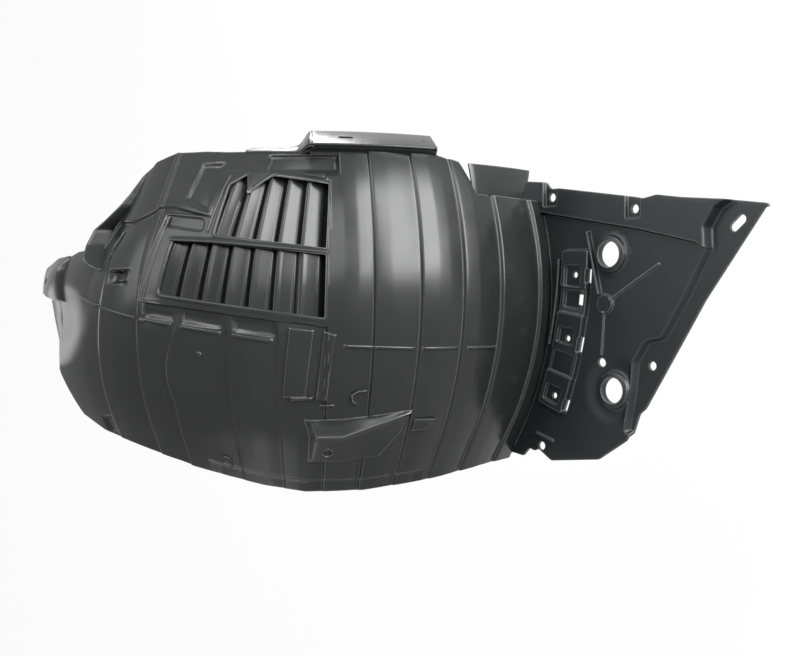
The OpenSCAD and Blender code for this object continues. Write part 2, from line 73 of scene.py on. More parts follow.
def blend(x: Array, x0: float, x1: float, a: float, b: float) -> Array:
    """Value that runs straight from a at x0 to b at x1 and stays level beyond them."""
    return a + (b - a) * np.clip((x - x0) / (x1 - x0), 0.0, 1.0)


def soft_step(x: Array, x0: float, x1: float) -> Array:
    """Smooth step from 0 at x0 to 1 at x1."""
    t = np.clip((x - x0) / (x1 - x0), 0.0, 1.0)
    return t * t * (3.0 - 2.0 * t)


def table(x: Array, pairs: Sequence[Pair]) -> Array:
    """Value at x of a table of pairs, straight between its rows."""
    keys, values = zip(*pairs)
    return np.interp(x, keys, values)


def refined(grid: Array, count: int, axis: int = 0) -> Array:
    """Grid with count straight steps between its neighbouring points along an axis.

    Args:
        grid: Points in rows and columns.
        count: Steps between two neighbours.
        axis: Axis of the grid that gets the steps.

    Returns:
        The finer grid.
    """
    last = grid.shape[axis] - 1
    places = np.linspace(0, last, count * last + 1)
    low = np.minimum(places.astype(int), last - 1)
    share = np.expand_dims(places - low, (1 - axis, 2))
    return np.take(grid, low, axis) * (1 - share) + np.take(grid, low + 1, axis) * share


def around_axle(theta: Array, radius: Array, y: Array) -> Array:
    """Points in metres, from an angle and a radius about the wheel axis and a place across the wheel."""
    angle = np.radians(theta)
    return np.stack(np.broadcast_arrays(radius * np.sin(angle), y, radius * np.cos(angle)), axis=-1) * MM


def patch(corners: Sequence[Pair], u: Array, v: Array) -> tuple[Array, Array]:
    """Angles and places across on a patch between four corners.

    Args:
        corners: Four corners in order around the patch.
        u: Shares from the first corner to the second.
        v: Shares from the first corner to the fourth.

    Returns:
        Angles and places across, on a grid.
    """
    a, b, c, d = np.array(corners, float)
    u, v = u[:, None, None], v[None, :, None]
    grid = (a * (1 - u) + b * u) * (1 - v) + (d * (1 - u) + c * u) * v
    return grid[..., 0], grid[..., 1]


def axes_at(x: Vector, y: Vector, z: Vector, place: Vector) -> Matrix:
    """Matrix that turns to three axes and moves to a place.

    Args:
        x: First axis.
        y: Second axis.
        z: Third axis.
        place: Where the origin goes.

    Returns:
        The matrix.
    """
    axes = Matrix((x, y, z)).transposed().to_4x4()
    axes.translation = place
    return axes


@dataclass(frozen=True)
class ArchForm:
    """Smooth double-curved surface under every feature of the arch.

    The section across the wheel is an arc with straight flanks. Its radius and its crown line change
    from the rear to the front, and a flat chamfer cuts the rear end.
    """

    radius: float = 370.0
    wall: float = 3.0
    rear_section: float = 200.0
    front_section: float = 340.0
    side_slope: float = 30.0
    rear_crown: float = -20.0
    front_crown: float = 40.0
    section_from: float = 5.0
    section_to: float = 50.0
    crown_to: float = 60.0
    chamfer_height: float = 365.4
    chamfer_slope: Pair = (0.08, -0.079)
    chamfer_to: float = 8.0
    crease: float = 1.2

    @property
    def mm_per_degree(self) -> float:
        """Arc length of one degree on the crown line."""
        return self.radius * math.pi / 180.0

    def base(self, theta: Array, y: Array) -> Array:
        """Radius of the bare surface.

        Args:
            theta: Angle from straight up.
            y: Place across the wheel.

        Returns:
            Distance from the wheel axis.
        """
        section = blend(theta, self.section_from, self.section_to, self.rear_section, self.front_section)
        crown = blend(theta, self.section_from, self.crown_to, self.rear_crown, self.front_crown)
        slope = math.radians(self.side_slope)
        away = np.abs(y - crown)
        arc = section * math.sin(slope)
        on_arc = section - np.sqrt(np.maximum(section**2 - np.minimum(away, arc) ** 2, 0.0))
        on_flank = section * (1.0 - math.cos(slope)) + (away - arc) * math.tan(slope)
        rounded = self.radius - np.where(away < arc, on_arc, on_flank)
        angle = np.radians(theta)
        cut = (self.chamfer_height + self.chamfer_slope[1] * y) / (
            np.cos(angle) - self.chamfer_slope[0] * np.sin(angle))
        gap = np.clip(1.0 - np.abs(rounded - cut) / (2.0 * self.crease), 0.0, 1.0)
        creased = np.minimum(rounded, cut) - 0.5 * self.crease * gap**2
        return np.where(theta < self.chamfer_to, creased, rounded)

    def at(self, theta: Array, y: Array, height: Array | float) -> Array:
        """Point on the arch, in metres, at an angle, a place across and a height above the surface."""
        return around_axle(theta, self.base(theta, y) + height, y)

    def spot(self, theta: float, y: float, height: float) -> Vector:
        """One point on the arch, in metres."""
        return Vector(self.at(np.array(theta), np.array(y), height))

    def sheet(self, theta: Array, y: Array, height: Array | float) -> tuple[Array, Array]:
        """Outer and inner points of a sheet of one wall thickness, whose outer face has a height."""
        return self.at(theta, y, height), self.at(theta, y, height - self.wall)

    def on_plan(self, plan: Array, height: Array | float) -> Array:
        """Point on the arch for a plan place given as arc length in mm and Y."""
        return self.at(plan[..., 0] / self.mm_per_degree, plan[..., 1], height)

    def plan(self, points: Sequence[Pair]) -> Array:
        """Plan places, as arc length in mm and Y, of points given as angle and Y."""
        return np.array(points, float) * (self.mm_per_degree, 1.0)


@dataclass(frozen=True)
class Pocket:
    """Sunk field in the shell: its corners as angle and Y, its depth and the width of its sloping wall."""

    corners: tuple[Pair, Pair, Pair, Pair]
    depth: float
    slope: float = 3.0


@dataclass(frozen=True)
class ArchRelief:
    """Heights that the ribs, the lip, the shoulder and the pockets add to the bare surface."""

    form: ArchForm = ArchForm()
    rib_at: tuple[float, ...] = (9.3, 18.3, 25.0, 35.5, 44.2, 52.5, 60.7, 69.2, 77.7, 86.2, 97.0)
    low_ribs: int = 5
    low_height: float = 2.2
    high_height: float = 3.5
    riser: float = 0.45
    last_rib: float = 20.0
    wave: float = 1.7
    wave_reach: float = 3.0
    wave_span: Pair = (-94, 13)
    wave_start: float = -62.0
    wave_length: float = 75.0
    wave_end: float = -0.4
    lip: float = 13.0
    lip_step: float = 3.0
    lip_ends: tuple[Pair, Pair] = ((29, 31), (74, 76))
    shoulder_step: float = 4.0
    shoulder_ends: tuple[Pair, Pair] = ((4, 7.5), (30, 32))
    louvre_span: Pair = (20, 52)
    louvre_fade: Pair = (-10, 8)
    recess_span: Pair = (41.7, 55.4)
    recess_fade: Pair = (160, 165)
    inboard: tuple[Pair, ...] = (
        (-3, 84), (4, 88), (6.5, 121), (8.8, 133), (10.5, 172), (12.5, 188), (18.4, 197), (33, 193),
        (46, 190), (75, 191), (80, 184), (82.5, 147), (110, 145))
    outboard: tuple[Pair, ...] = (
        (-3, -60), (0.7, -108), (5.5, -126), (11, -136), (18, -150), (32, -175), (40, -186), (49, -194),
        (62, -194), (74, -187), (92, -172), (110, -163))
    shoulder: tuple[Pair, ...] = (
        (-3, 60), (4, 70), (7.5, 116), (13, 114), (17, 122), (19.5, 130), (23, 129), (31, 117), (60, 112),
        (110, 108))
    rear_edge: tuple[Pair, ...] = (
        (-60, -3.5), (-50, -3.6), (-21, -2.8), (5, -3.2), (27, -4.6), (69, -8.4), (80, -6), (88, -2))
    pockets: tuple[Pocket, ...] = (
        Pocket(((25.2, 135), (31, 119), (32.6, 181), (27, 181)), 3.0, 6.0),
        Pocket(((42, 164), (55.2, 164), (55.4, 187), (41.7, 187)), 3.0, 4.0),
        Pocket(((20.2, 4), (26.2, -1), (26.2, 12), (20.2, 17)), 3.0, 5.0),
        Pocket(((27.4, -3), (35, -10), (35, 7), (27.4, 13)), 3.0, 5.0),
        Pocket(((36.6, -12), (44.4, -19), (44.4, -1), (36.6, 6)), 3.0, 5.0),
        Pocket(((10.7, 43), (15.6, 43), (15.3, 58), (10.7, 58)), 8.0, 3.4),
        Pocket(((6.4, -124), (9, -128), (9, -108), (6.4, -108)), 4.0))

    def wavy(self, theta: Array, y: Array) -> Array:
        """Sideways swing of the wavy rib, in degrees.

        Args:
            theta: Angle from straight up.
            y: Place across the wheel.

        Returns:
            Swing at each place.
        """
        near = np.clip(1.0 - np.abs(theta - self.rib_at[2] - 1.0) / self.wave_reach, 0.0, 1.0)
        low, high = self.wave_span
        curve = -np.cos(np.radians(180 * (y - self.wave_start) / self.wave_length))
        return near * self.wave * np.where(y > high, 1.0, np.where(y < low, self.wave_end, curve))

    def rib_rows(self) -> list[tuple[float, float]]:
        """Rib profile along the arch, as angle and height.

        Returns:
            Rows in the order of the angle.
        """
        rows: list[tuple[float, float]] = []
        for index, start in enumerate(self.rib_at):
            last = index == len(self.rib_at) - 1
            gap = self.last_rib if last else self.rib_at[index + 1] - start
            high = self.low_height if index < self.low_ribs else self.high_height
            rise = [(share, high * (3 * share**2 - 2 * share**3)) for share in (0.0, 0.25, 0.5, 0.75, 1.0)]
            rows += [(start + share * self.riser, height) for share, height in rise]
            rows += [(start + self.riser + 0.25, high * 1.02), (start + 0.4 * gap, high)]
            if not last:
                rows += [(start + 0.7 * gap, 0.6 * high), (start + gap - 0.35, 0.05 * high)]
        return rows

    def rib(self, theta: Array) -> Array:
        """Height of the rib profile at an angle."""
        return table(theta, [(-30.0, 0.0)] + self.rib_rows())

    def pocket_depth(self, theta: Array, y: Array) -> Array:
        """Depth of the pockets at a place, as a positive number.

        Args:
            theta: Angle from straight up.
            y: Place across the wheel.

        Returns:
            Depth at each place.
        """
        depth = np.zeros(np.broadcast(theta, y).shape)
        place = np.stack(np.broadcast_arrays(theta * self.form.mm_per_degree, y), axis=-1)
        for pocket in self.pockets:
            corners = self.form.plan(pocket.corners)
            inside = np.full(depth.shape, 1e9)
            for start, end in zip(corners, np.roll(corners, -1, axis=0)):
                along = (end - start) / np.linalg.norm(end - start)
                inside = np.minimum(inside, (place - start) @ np.array([-along[1], along[0]]))
            depth = np.maximum(depth, pocket.depth * soft_step(inside, 0.0, pocket.slope))
        return depth

    def height(self, theta: Array, y: Array, row: Array | None = None) -> Array:
        """Height of the shell's outer face above the bare surface.

        Args:
            theta: Angle from straight up.
            y: Place across the wheel.
            row: Angle of the rib line through the place, which the wavy rib shifts.

        Returns:
            Height at each place.
        """
        row = theta - self.wavy(theta, y) if row is None else row
        under_louvres = (theta > self.louvre_span[0]) & (theta < self.louvre_span[1])
        in_recess = (theta > self.recess_span[0]) & (theta < self.recess_span[1])
        fade = np.where(under_louvres, blend(y, *self.louvre_fade, 1.0, 0.0), 1.0)
        fade = fade * np.where(in_recess, 1.0 - soft_step(y, *self.recess_fade), 1.0)
        lip_fade, shoulder_fade = (
            blend(theta, *start, 0, 1) * blend(theta, *end, 1, 0)
            for start, end in (self.lip_ends, self.shoulder_ends))
        edge = table(theta, self.outboard) + self.lip
        ridge = table(theta, self.shoulder)
        lip = self.lip_step * lip_fade * (1.0 - soft_step(y, edge - 0.5, edge + 2.0))
        shoulder = self.shoulder_step * shoulder_fade * soft_step(y, ridge - 2.5, ridge + 2.5)
        return self.rib(row) * fade - lip + shoulder - self.pocket_depth(theta, y)


def smooth(mesh: bpy.types.Mesh, crease: float) -> None:
    """Shades a mesh smooth, apart from edges that bend by more than the crease angle."""
    mesh.shade_smooth()
    mesh.set_sharp_from_angle(angle=math.radians(crease))


class MeshBuffer:
    """Points and faces of one piece, gathered shell by shell."""

    def __init__(self) -> None:
        """Starts empty."""
        self.points: list[Array] = []
        self.faces: list[Sequence[int]] = []
        self.count = 0

    def add(self, points: Array, faces: Sequence[Sequence[int]]) -> None:
        """Adds points, as rows of three, and faces that index them.

        Args:
            points: Rows of three coordinates in metres.
            faces: Point numbers of each face, from 0.
        """
        flat = np.asarray(points, float).reshape(-1, 3)
        self.points.append(flat)
        self.faces += [[self.count + index for index in face] for face in faces]
        self.count += len(flat)

    def loft(self, rings: Array, closed: bool = False) -> None:
        """Adds a tube through rings of points, with flat ends unless it closes on itself.

        Args:
            rings: Rings of the same number of points.
            closed: Whether the last ring meets the first.
        """
        steps, around = rings.shape[:2]
        faces: list[Sequence[int]] = []
        for i in range(steps if closed else steps - 1):
            a, b = i * around, (i + 1) % steps * around
            for j in range(around):
                k = (j + 1) % around
                faces.append((a + j, a + k, b + k, b + j))
        if not closed:
            faces.append(tuple(reversed(range(around))))
            faces.append(tuple(range((steps - 1) * around, steps * around)))
        self.add(rings, faces)

    def skin(self, outer: Array, inner: Array) -> None:
        """Adds a closed skin between two grids of points of the same shape.

        Args:
            outer: Grid of outer points.
            inner: Grid of inner points.
        """
        n, m = outer.shape[:2]
        index = np.arange(n * m).reshape(n, m)
        low = index + n * m
        faces = [
            (index[i, j], index[i + 1, j], index[i + 1, j + 1], index[i, j + 1])
            for i in range(n - 1) for j in range(m - 1)]
        faces += [
            (low[i, j], low[i, j + 1], low[i + 1, j + 1], low[i + 1, j])
            for i in range(n - 1) for j in range(m - 1)]
        rim = [(i, 0) for i in range(n)] + [(n - 1, j) for j in range(1, m)]
        rim += [(i, m - 1) for i in range(n - 2, -1, -1)] + [(0, j) for j in range(m - 2, 0, -1)]
        for (i, j), (k, l) in zip(rim, rim[1:] + rim[:1]):
            faces.append((index[i, j], low[i, j], low[k, l], index[k, l]))
        self.add(np.concatenate([outer.reshape(-1, 3), inner.reshape(-1, 3)]), faces)

    def build(self, name: str, crease: float = CREASE) -> bpy.types.Object:
        """Makes the Blender object.

        Args:
            name: Name of the piece.
            crease: Smallest bend, in degrees, that stays a sharp edge.

        Returns:
            The new object, linked to the scene.
        """
        points = np.concatenate(self.points)
        used = np.unique(np.fromiter((i for face in self.faces for i in face), int))
        renumber = np.full(len(points), -1)
        renumber[used] = np.arange(len(used))
        mesh = bpy.data.meshes.new(name)
        mesh.from_pydata(points[used].tolist(), [], [[int(renumber[i]) for i in face] for face in self.faces])
        mesh.update()
        smooth(mesh, crease)
        piece = bpy.data.objects.new(name, mesh)
        bpy.context.collection.objects.link(piece)
        return piece


def applied(piece: bpy.types.Object) -> bpy.types.Object:
    """Applies a piece's modifiers to its mesh and marks its sharp edges again.

    Args:
        piece: The piece.

    Returns:
        The same piece.
    """
    graph = bpy.context.evaluated_depsgraph_get()
    mesh = bpy.data.meshes.new_from_object(piece.evaluated_get(graph))
    piece.modifiers.clear()
    piece.data = mesh
    smooth(mesh, CREASE)
    return piece


def rounded(piece: bpy.types.Object, width: float, segments: int = 2) -> bpy.types.Object:
    """Rounds a piece's sharp edges by a width in mm.

    Args:
        piece: The piece.
        width: Width of the rounding.
        segments: Steps of the rounding.

    Returns:
        The same piece.
    """
    bevel = piece.modifiers.new("rounding", "BEVEL")
    bevel.width = width * MM
    bevel.segments = segments
    bevel.limit_method = "ANGLE"
    bevel.angle_limit = math.radians(30)
    bevel.harden_normals = False
    return applied(piece)


def skinned(name: str, outer: Array, inner: Array, rounding: float, segments: int = 2) -> bpy.types.Object:
    """Makes a rounded piece from a closed skin between two grids of points.

    Args:
        name: Name of the piece.
        outer: Grid of outer points.
        inner: Grid of inner points.
        rounding: Width of the rounding in mm.
        segments: Steps of the rounding.

    Returns:
        The new piece.
    """
    buffer = MeshBuffer()
    buffer.skin(outer, inner)
    return rounded(buffer.build(name), rounding, segments)


def drilled(piece: bpy.types.Object, cutters: Sequence[bpy.types.Object]) -> bpy.types.Object:
    """Cuts other pieces out of a piece and deletes them.

    Args:
        piece: The piece.
        cutters: Pieces to cut out.

    Returns:
        The same piece.
    """
    for cutter in cutters:
        cut = piece.modifiers.new("hole", "BOOLEAN")
        cut.operation = "DIFFERENCE"
        cut.solver = "EXACT"
        cut.object = cutter
    applied(piece)
    for cutter in cutters:
        bpy.data.objects.remove(cutter)
    return piece


def prism(name: str, outline: Array, axes: Matrix, depth: float) -> bpy.types.Object:
    """Upright cutter on an outline in mm.

    Args:
        name: Name of the cutter.
        outline: Corner points in the cutter's own XY plane, in mm.
        axes: Places the cutter in the car's frame.
        depth: Half of its height, in mm.

    Returns:
        The cutter as an object.
    """
    rings = np.array([[(x, y, z) for x, y in outline] for z in (-depth, depth)]) * MM
    flat = np.concatenate([rings, np.ones((*rings.shape[:2], 1))], axis=2) @ np.array(axes).T
    buffer = MeshBuffer()
    buffer.loft(flat[..., :3])
    return buffer.build(name)


def stadium(radius: float, length: float = 0.0, turn: float = 0.0, sides: int = 40) -> Array:
    """Outline of a round hole, or of a round-ended slot of a given straight length, turned by an angle.

    Args:
        radius: Radius of the ends.
        length: Straight length, 0 for a round hole.
        turn: Angle of the straight part in degrees.
        sides: Number of points.

    Returns:
        Points of the outline.
    """
    angles = np.linspace(0, 2 * math.pi, sides, endpoint=False)
    points = radius * np.stack([np.cos(angles), np.sin(angles)], axis=1)
    points[:, 0] += np.where(np.cos(angles) >= -1e-9, 0.5, -0.5) * length
    c, s = math.cos(math.radians(turn)), math.sin(math.radians(turn))
    return points @ np.array([[c, s], [-s, c]])


def densified(points: Array, step: float, closed: bool = True) -> Array:
    """Line of plan points with no gap over a step.

    Args:
        points: Line of plan points.
        step: Largest gap.
        closed: Whether the line closes.

    Returns:
        The denser line.
    """
    ends = np.roll(points, -1, axis=0) if closed else points[1:]
    rows = []
    for start, end in zip(points, ends):
        count = max(1, math.ceil(np.linalg.norm(end - start) / step))
        rows += [start + (end - start) * k / count for k in range(count)]
    if not closed:
        rows.append(points[-1])
    return np.array(rows)


def beside(points: Array, distance: float, closed: bool = False) -> Array:
    """Line at a distance to the left of a line of plan points, with mitred corners.

    Args:
        points: Line of plan points.
        distance: Distance to the left.
        closed: Whether the line closes.

    Returns:
        The moved line.
    """
    if closed:
        before, after = np.roll(points, 1, axis=0), np.roll(points, -1, axis=0)
    else:
        before = np.concatenate([points[:1] * 2 - points[1:2], points[:-1]])
        after = np.concatenate([points[1:], points[-1:] * 2 - points[-2:-1]])
    back, ahead = points - before, after - points
    back /= np.linalg.norm(back, axis=1, keepdims=True)
    ahead /= np.linalg.norm(ahead, axis=1, keepdims=True)
    middle = back + ahead
    middle /= np.linalg.norm(middle, axis=1, keepdims=True)
    normal = np.stack([-middle[:, 1], middle[:, 0]], axis=1)
    stretch = np.maximum(np.sum(normal * np.stack([-back[:, 1], back[:, 0]], axis=1), axis=1), 0.35)
    return points + normal * (distance / stretch)[:, None]


def filleted(points: Sequence[Pair] | Array, radii: Sequence[float] | float, steps: int = 5) -> Array:
    """Closed outline with rounded corners.

    Args:
        points: Corner points.
        radii: Rounding of each corner, or one for all.
        steps: Points on each rounding.

    Returns:
        Points of the rounded outline.
    """
    corners = np.array(points, float)
    sizes = [radii] * len(corners) if isinstance(radii, (int, float)) else list(radii)
    rows = []
    for index, corner in enumerate(corners):
        before = corners[index - 1] - corner
        after = corners[(index + 1) % len(corners)] - corner
        reach = min(sizes[index], 0.45 * np.linalg.norm(before), 0.45 * np.linalg.norm(after))
        if reach <= 0.01:
            rows.append(corner)
            continue
        start = corner + before / np.linalg.norm(before) * reach
        end = corner + after / np.linalg.norm(after) * reach
        for k in range(steps + 1):
            t = k / steps
            rows.append(start * (1 - t) ** 2 + corner * 2 * t * (1 - t) + end * t**2)
    return np.array(rows)


def inside_polygon(points: Array, polygon: Array) -> Array:
    """Whether each plan point lies inside a closed outline.

    Args:
        points: Plan points.
        polygon: Corners of the outline.

    Returns:
        True or false for each point.
    """
    x, y = points[:, 0], points[:, 1]
    result = np.zeros(len(points), bool)
    for (x0, y0), (x1, y1) in zip(polygon, np.roll(polygon, -1, axis=0)):
        crosses = (y0 > y) != (y1 > y)
        if y0 != y1:
            result ^= crosses & (x < (x1 - x0) * (y - y0) / (y1 - y0) + x0)
    return result


def line_distance(points: Array, line: Array, closed: bool) -> Array:
    """Distance of each plan point from a line.

    Args:
        points: Plan points.
        line: Points of the line.
        closed: Whether the line closes.

    Returns:
        Distance of each point.
    """
    best = np.full(len(points), 1e9)
    ends = np.roll(line, -1, axis=0) if closed else line[1:]
    for start, end in zip(line, ends):
        run = end - start
        share = np.clip((points - start) @ run / max(run @ run, 1e-12), 0.0, 1.0)
        best = np.minimum(best, np.linalg.norm(points - start - share[:, None] * run, axis=1))
    return best


def depth_inside(points: Array, polygon: Array) -> Array:
    """Distance inside a closed outline, negative outside it."""
    away = line_distance(points, polygon, True)
    return np.where(inside_polygon(points, polygon), away, -away)


@dataclass(frozen=True)
class Field:
    """Raised or sunk field of a moulded sheet, with sloping rounded walls.

    Its outline is in plan, and the wall runs half a slope to each side of it.
    """

    outline: Array
    height: float
    slope: float = 2.0

    def turned(self) -> Array:
        """Outline with its inside on the left.

        Returns:
            The outline, against the clock.
        """
        x, y = self.outline[:, 0], self.outline[:, 1]
        area = np.sum(x * np.roll(y, -1) - np.roll(x, -1) * y)
        return self.outline if area > 0 else self.outline[::-1]

    def rise(self, plan: Array, inset: float = 0.0) -> Array:
        """Height that the field adds at each plan point, with its wall moved in by an inset."""
        inside = depth_inside(plan, self.outline) - inset
        return self.height * soft_step(inside, -self.slope / 2, self.slope / 2)

    def lines(self, wall: float) -> list[Array]:
        """Closed lines that a mesh needs to show the walls of both faces of the sheet.

        Args:
            wall: Thickness of the sheet.

        Returns:
            The lines.
        """
        shares = (0.0, 0.1, 0.22, 0.38, 0.62, 0.78, 0.9, 1.0)
        guard = 0.8
        top = [self.slope * (share - 0.5) for share in shares]
        top += [-self.slope / 2 - guard, self.slope / 2 + guard]
        under = math.copysign(wall, self.height)
        bottom = [under + self.slope * share for share in (-0.5, 0.0, 0.5)]
        return [beside(self.turned(), distance, closed=True) for distance in top + bottom]


@dataclass
class PlanSheet:
    """Closed sheet drawn in plan: an outline with holes, lifted by a height for each face.

    Every feature line becomes an edge of both faces, so steps and ribs stay crisp in any direction.
    """

    outline: Array
    holes: list[Array] = field(default_factory=list)
    lines: list[tuple[Array, bool]] = field(default_factory=list)
    step: float = 6.0
    lattice: bool = False

    def triangles(self) -> tuple[Array, Array]:
        """Splits the plan into triangles.

        Returns:
            Plan points, and triangles that index them with their upper side up.
        """
        points: list[Array] = []
        edges: list[tuple[int, int]] = []
        count = 0
        loops = [(self.outline, True)] + [(hole, True) for hole in self.holes] + self.lines
        for line, closed in loops:
            dense = densified(line, self.step, closed)
            size = len(dense)
            edges += [(count + k, count + (k + 1) % size) for k in range(size if closed else size - 1)]
            points.append(dense)
            count += size
        if self.lattice:
            points.append(self.inner_lattice())
        plan = np.concatenate(points)
        result = delaunay_2d_cdt([Vector(p) for p in plan.tolist()], edges, [], 0, 1e-4, False)
        plan = np.array([tuple(p) for p in result[0]])
        faces = np.array([face for face in result[2] if len(face) == 3])
        a, b, c = plan[faces[:, 0]], plan[faces[:, 1]], plan[faces[:, 2]]
        area = (b[:, 0] - a[:, 0]) * (c[:, 1] - a[:, 1]) - (b[:, 1] - a[:, 1]) * (c[:, 0] - a[:, 0])
        middle = (a + b + c) / 3
        keep = inside_polygon(middle, self.outline)
        for hole in self.holes:
            keep &= ~inside_polygon(middle, hole)
        faces = np.where(area[:, None] < 0, faces[:, ::-1], faces)
        return plan, faces[keep]

    def inner_lattice(self) -> Array:
        """Even field of plan points inside the outline, for sheets that bend.

        Returns:
            Plan points.
        """
        low, high = self.outline.min(axis=0), self.outline.max(axis=0)
        rows = []
        for index, y in enumerate(np.arange(low[1], high[1], self.step * 0.87)):
            x = np.arange(low[0] + (index % 2) * self.step / 2, high[0], self.step)
            rows.append(np.stack([x, np.full_like(x, y)], axis=1))
        points = np.concatenate(rows)
        keep = depth_inside(points, self.outline) > self.step * 0.4
        for line, closed in [(hole, True) for hole in self.holes] + self.lines:
            keep &= line_distance(points, line, closed) > self.step * 0.35
        return points[keep]

    def add_to(self, buffer: MeshBuffer, place: Callable[[Array, Array], Array],
               top: Callable[[Array], Array], bottom: Callable[[Array], Array]) -> None:
        """Adds the sheet to a mesh.

        Args:
            buffer: Mesh that takes the sheet.
            place: Turns plan points and heights into points in metres.
            top: Height of the upper face at plan points.
            bottom: Height of the lower face at plan points.
        """
        plan, faces = self.triangles()
        size = len(plan)
        uses: dict[tuple[int, int], int] = {}
        for a, b, c in faces.tolist():
            for edge in ((a, b), (b, c), (c, a)):
                uses[edge] = 1
        rim = [(a, b) for a, b in uses if (b, a) not in uses]
        walls = [(b, a, a + size, b + size) for a, b in rim]
        under = (faces[:, ::-1] + size).tolist()
        points = np.concatenate([place(plan, top(plan)), place(plan, bottom(plan))])
        buffer.add(points, faces.tolist() + under + walls)


@dataclass
class ArchShell:
    """The ribbed arch itself: one closed skin with a coarser inner face and room for the louvre panel."""

    relief: ArchRelief
    window_room: list[Array]
    rear_rows: int = 24
    row_step: float = 0.4
    main_columns: int = 118
    upper_columns: int = 44
    first_row: float = 2.0
    last_row: float = 99.0
    foot_depth: float = 70.5
    foot_rows: int = 8

    def row_angles(self) -> Array:
        """Angles of the lines across the arch, closer at the ribs, in a number that suits the inner face.

        Returns:
            Angles in rising order.
        """
        ribs = (angle for angle, _ in self.relief.rib_rows() if angle < self.last_row)
        knots = sorted({self.first_row, self.last_row, *ribs})
        rows: list[float] = []
        for start, end in zip(knots, knots[1:]):
            count = max(1, math.ceil((end - start) / self.row_step))
            rows += [start + (end - start) * k / count for k in range(count)]
        rows.append(self.last_row)
        if (self.rear_rows + len(rows) + self.foot_rows) % 2 == 0:
            rows.insert(1, (rows[0] + rows[1]) / 2)
        return np.array(rows)

    def columns(self, row: float) -> Array:
        """Places across the wheel on one line: lip, main part, shoulder and upper part.

        Args:
            row: Angle of the line.

        Returns:
            Places in rising order.
        """
        relief = self.relief
        low = float(table(row, relief.outboard))
        ridge = float(table(row, relief.shoulder))
        high = float(table(row, relief.inboard))
        lip_end = low + relief.lip
        lip = low + relief.lip * np.array([0, 0.35, 0.7, 0.93, 1.0])
        step = lip_end + np.array([0.7, 1.4, 2.1])
        main = np.linspace(lip_end + 2.8, ridge - 3.5, self.main_columns)
        shoulder = ridge + np.array([-2.5, -1.6, -0.8, 0.0, 0.8, 1.6, 2.5])
        return np.concatenate([lip, step, main, shoulder, np.linspace(ridge + 3.5, high, self.upper_columns)])

    def grid(self) -> tuple[Array, Array, Array, Array]:
        """Angle, place across, rib line and height at each point of the outer face.

        Returns:
            Four grids of the same shape.
        """
        relief, form = self.relief, self.relief.form
        rows = self.row_angles()
        theta, across, lines = [], [], []
        for k in range(self.rear_rows):
            share = k / self.rear_rows
            y = self.columns(-3 + 5 * share)
            edge = table(y, relief.rear_edge)
            theta.append(edge + (rows[0] - edge) * share)
            across.append(y)
            lines.append(rows[0])
        for row in rows:
            y = self.columns(row)
            theta.append(row + relief.wavy(np.full_like(y, row), y))
            across.append(y)
            lines.append(row)
        y = self.columns(self.last_row + 3)
        radius = form.base(np.full_like(y, self.last_row + 3), y) + relief.high_height
        foot = 90 + np.degrees(np.arcsin(self.foot_depth / radius))
        for k in range(1, self.foot_rows + 1):
            share = k / self.foot_rows
            theta.append(rows[-1] + (foot - rows[-1]) * share)
            across.append(self.columns(rows[-1] + 3 * share))
            lines.append(rows[-1])
        angle, place = np.array(theta), np.array(across)
        line = np.repeat(np.array(lines)[:, None], place.shape[1], axis=1)
        return angle, place, line, relief.height(angle, place, line)

    def build(self) -> list[bpy.types.Object]:
        """Makes the shell.

        Returns:
            A list with the new piece.
        """
        form = self.relief.form
        theta, across, _, height = self.grid()
        outer = form.at(theta, across, height)
        inner = form.at(theta, across, height - form.wall)[::2, ::2]
        middle = np.stack([theta[1::2, 1::2] * form.mm_per_degree, across[1::2, 1::2]], axis=-1)
        blocks = middle.shape[:2]
        middle = middle.reshape(-1, 2)
        kept = np.ones(len(middle), bool)
        for room in self.window_room:
            kept &= ~inside_polygon(middle, room)
        buffer = MeshBuffer()
        points = np.concatenate([outer.reshape(-1, 3), inner.reshape(-1, 3)])
        buffer.add(points, self.faces(kept.reshape(blocks), *theta.shape))
        return [buffer.build("arch_shell")]

    @staticmethod
    def faces(kept: Array, n: int, m: int) -> list[list[int]]:
        """Faces of the skin over the blocks that are kept.

        Args:
            kept: Which blocks of two by two outer cells the shell has.
            n: Lines of the outer face.
            m: Points on each line.

        Returns:
            Faces that index the outer points and then the inner ones.
        """
        coarse = (m + 1) // 2

        def low(i: int, j: int) -> int:
            """Index of an inner point."""
            return n * m + i * coarse + j

        def high(i: int, j: int) -> int:
            """Index of an outer point."""
            return i * m + j

        def missing(i: int, j: int) -> bool:
            """Whether a block is outside the shell or cut away."""
            return not (0 <= i < kept.shape[0] and 0 <= j < kept.shape[1] and kept[i, j])

        # Neighbour of a block, the two inner points on the side they share and the three outer ones.
        sides = (
            ((0, -1), ((0, 0), (1, 0)), ((2, 0), (1, 0), (0, 0))),
            ((0, 1), ((1, 1), (0, 1)), ((0, 2), (1, 2), (2, 2))),
            ((-1, 0), ((0, 1), (0, 0)), ((0, 0), (0, 1), (0, 2))),
            ((1, 0), ((1, 0), (1, 1)), ((2, 2), (2, 1), (2, 0))))
        faces: list[list[int]] = []
        for bi, bj in zip(*(places.tolist() for places in np.nonzero(kept))):
            i, j = 2 * bi, 2 * bj
            faces += [
                [high(a, b), high(a + 1, b), high(a + 1, b + 1), high(a, b + 1)]
                for a in (i, i + 1) for b in (j, j + 1)]
            faces.append([low(bi, bj), low(bi, bj + 1), low(bi + 1, bj + 1), low(bi + 1, bj)])
            for (di, dj), inner, outer in sides:
                if missing(bi + di, bj + dj):
                    wall = [low(bi + a, bj + b) for a, b in inner]
                    faces.append(wall + [high(i + a, j + b) for a, b in outer])
        return faces


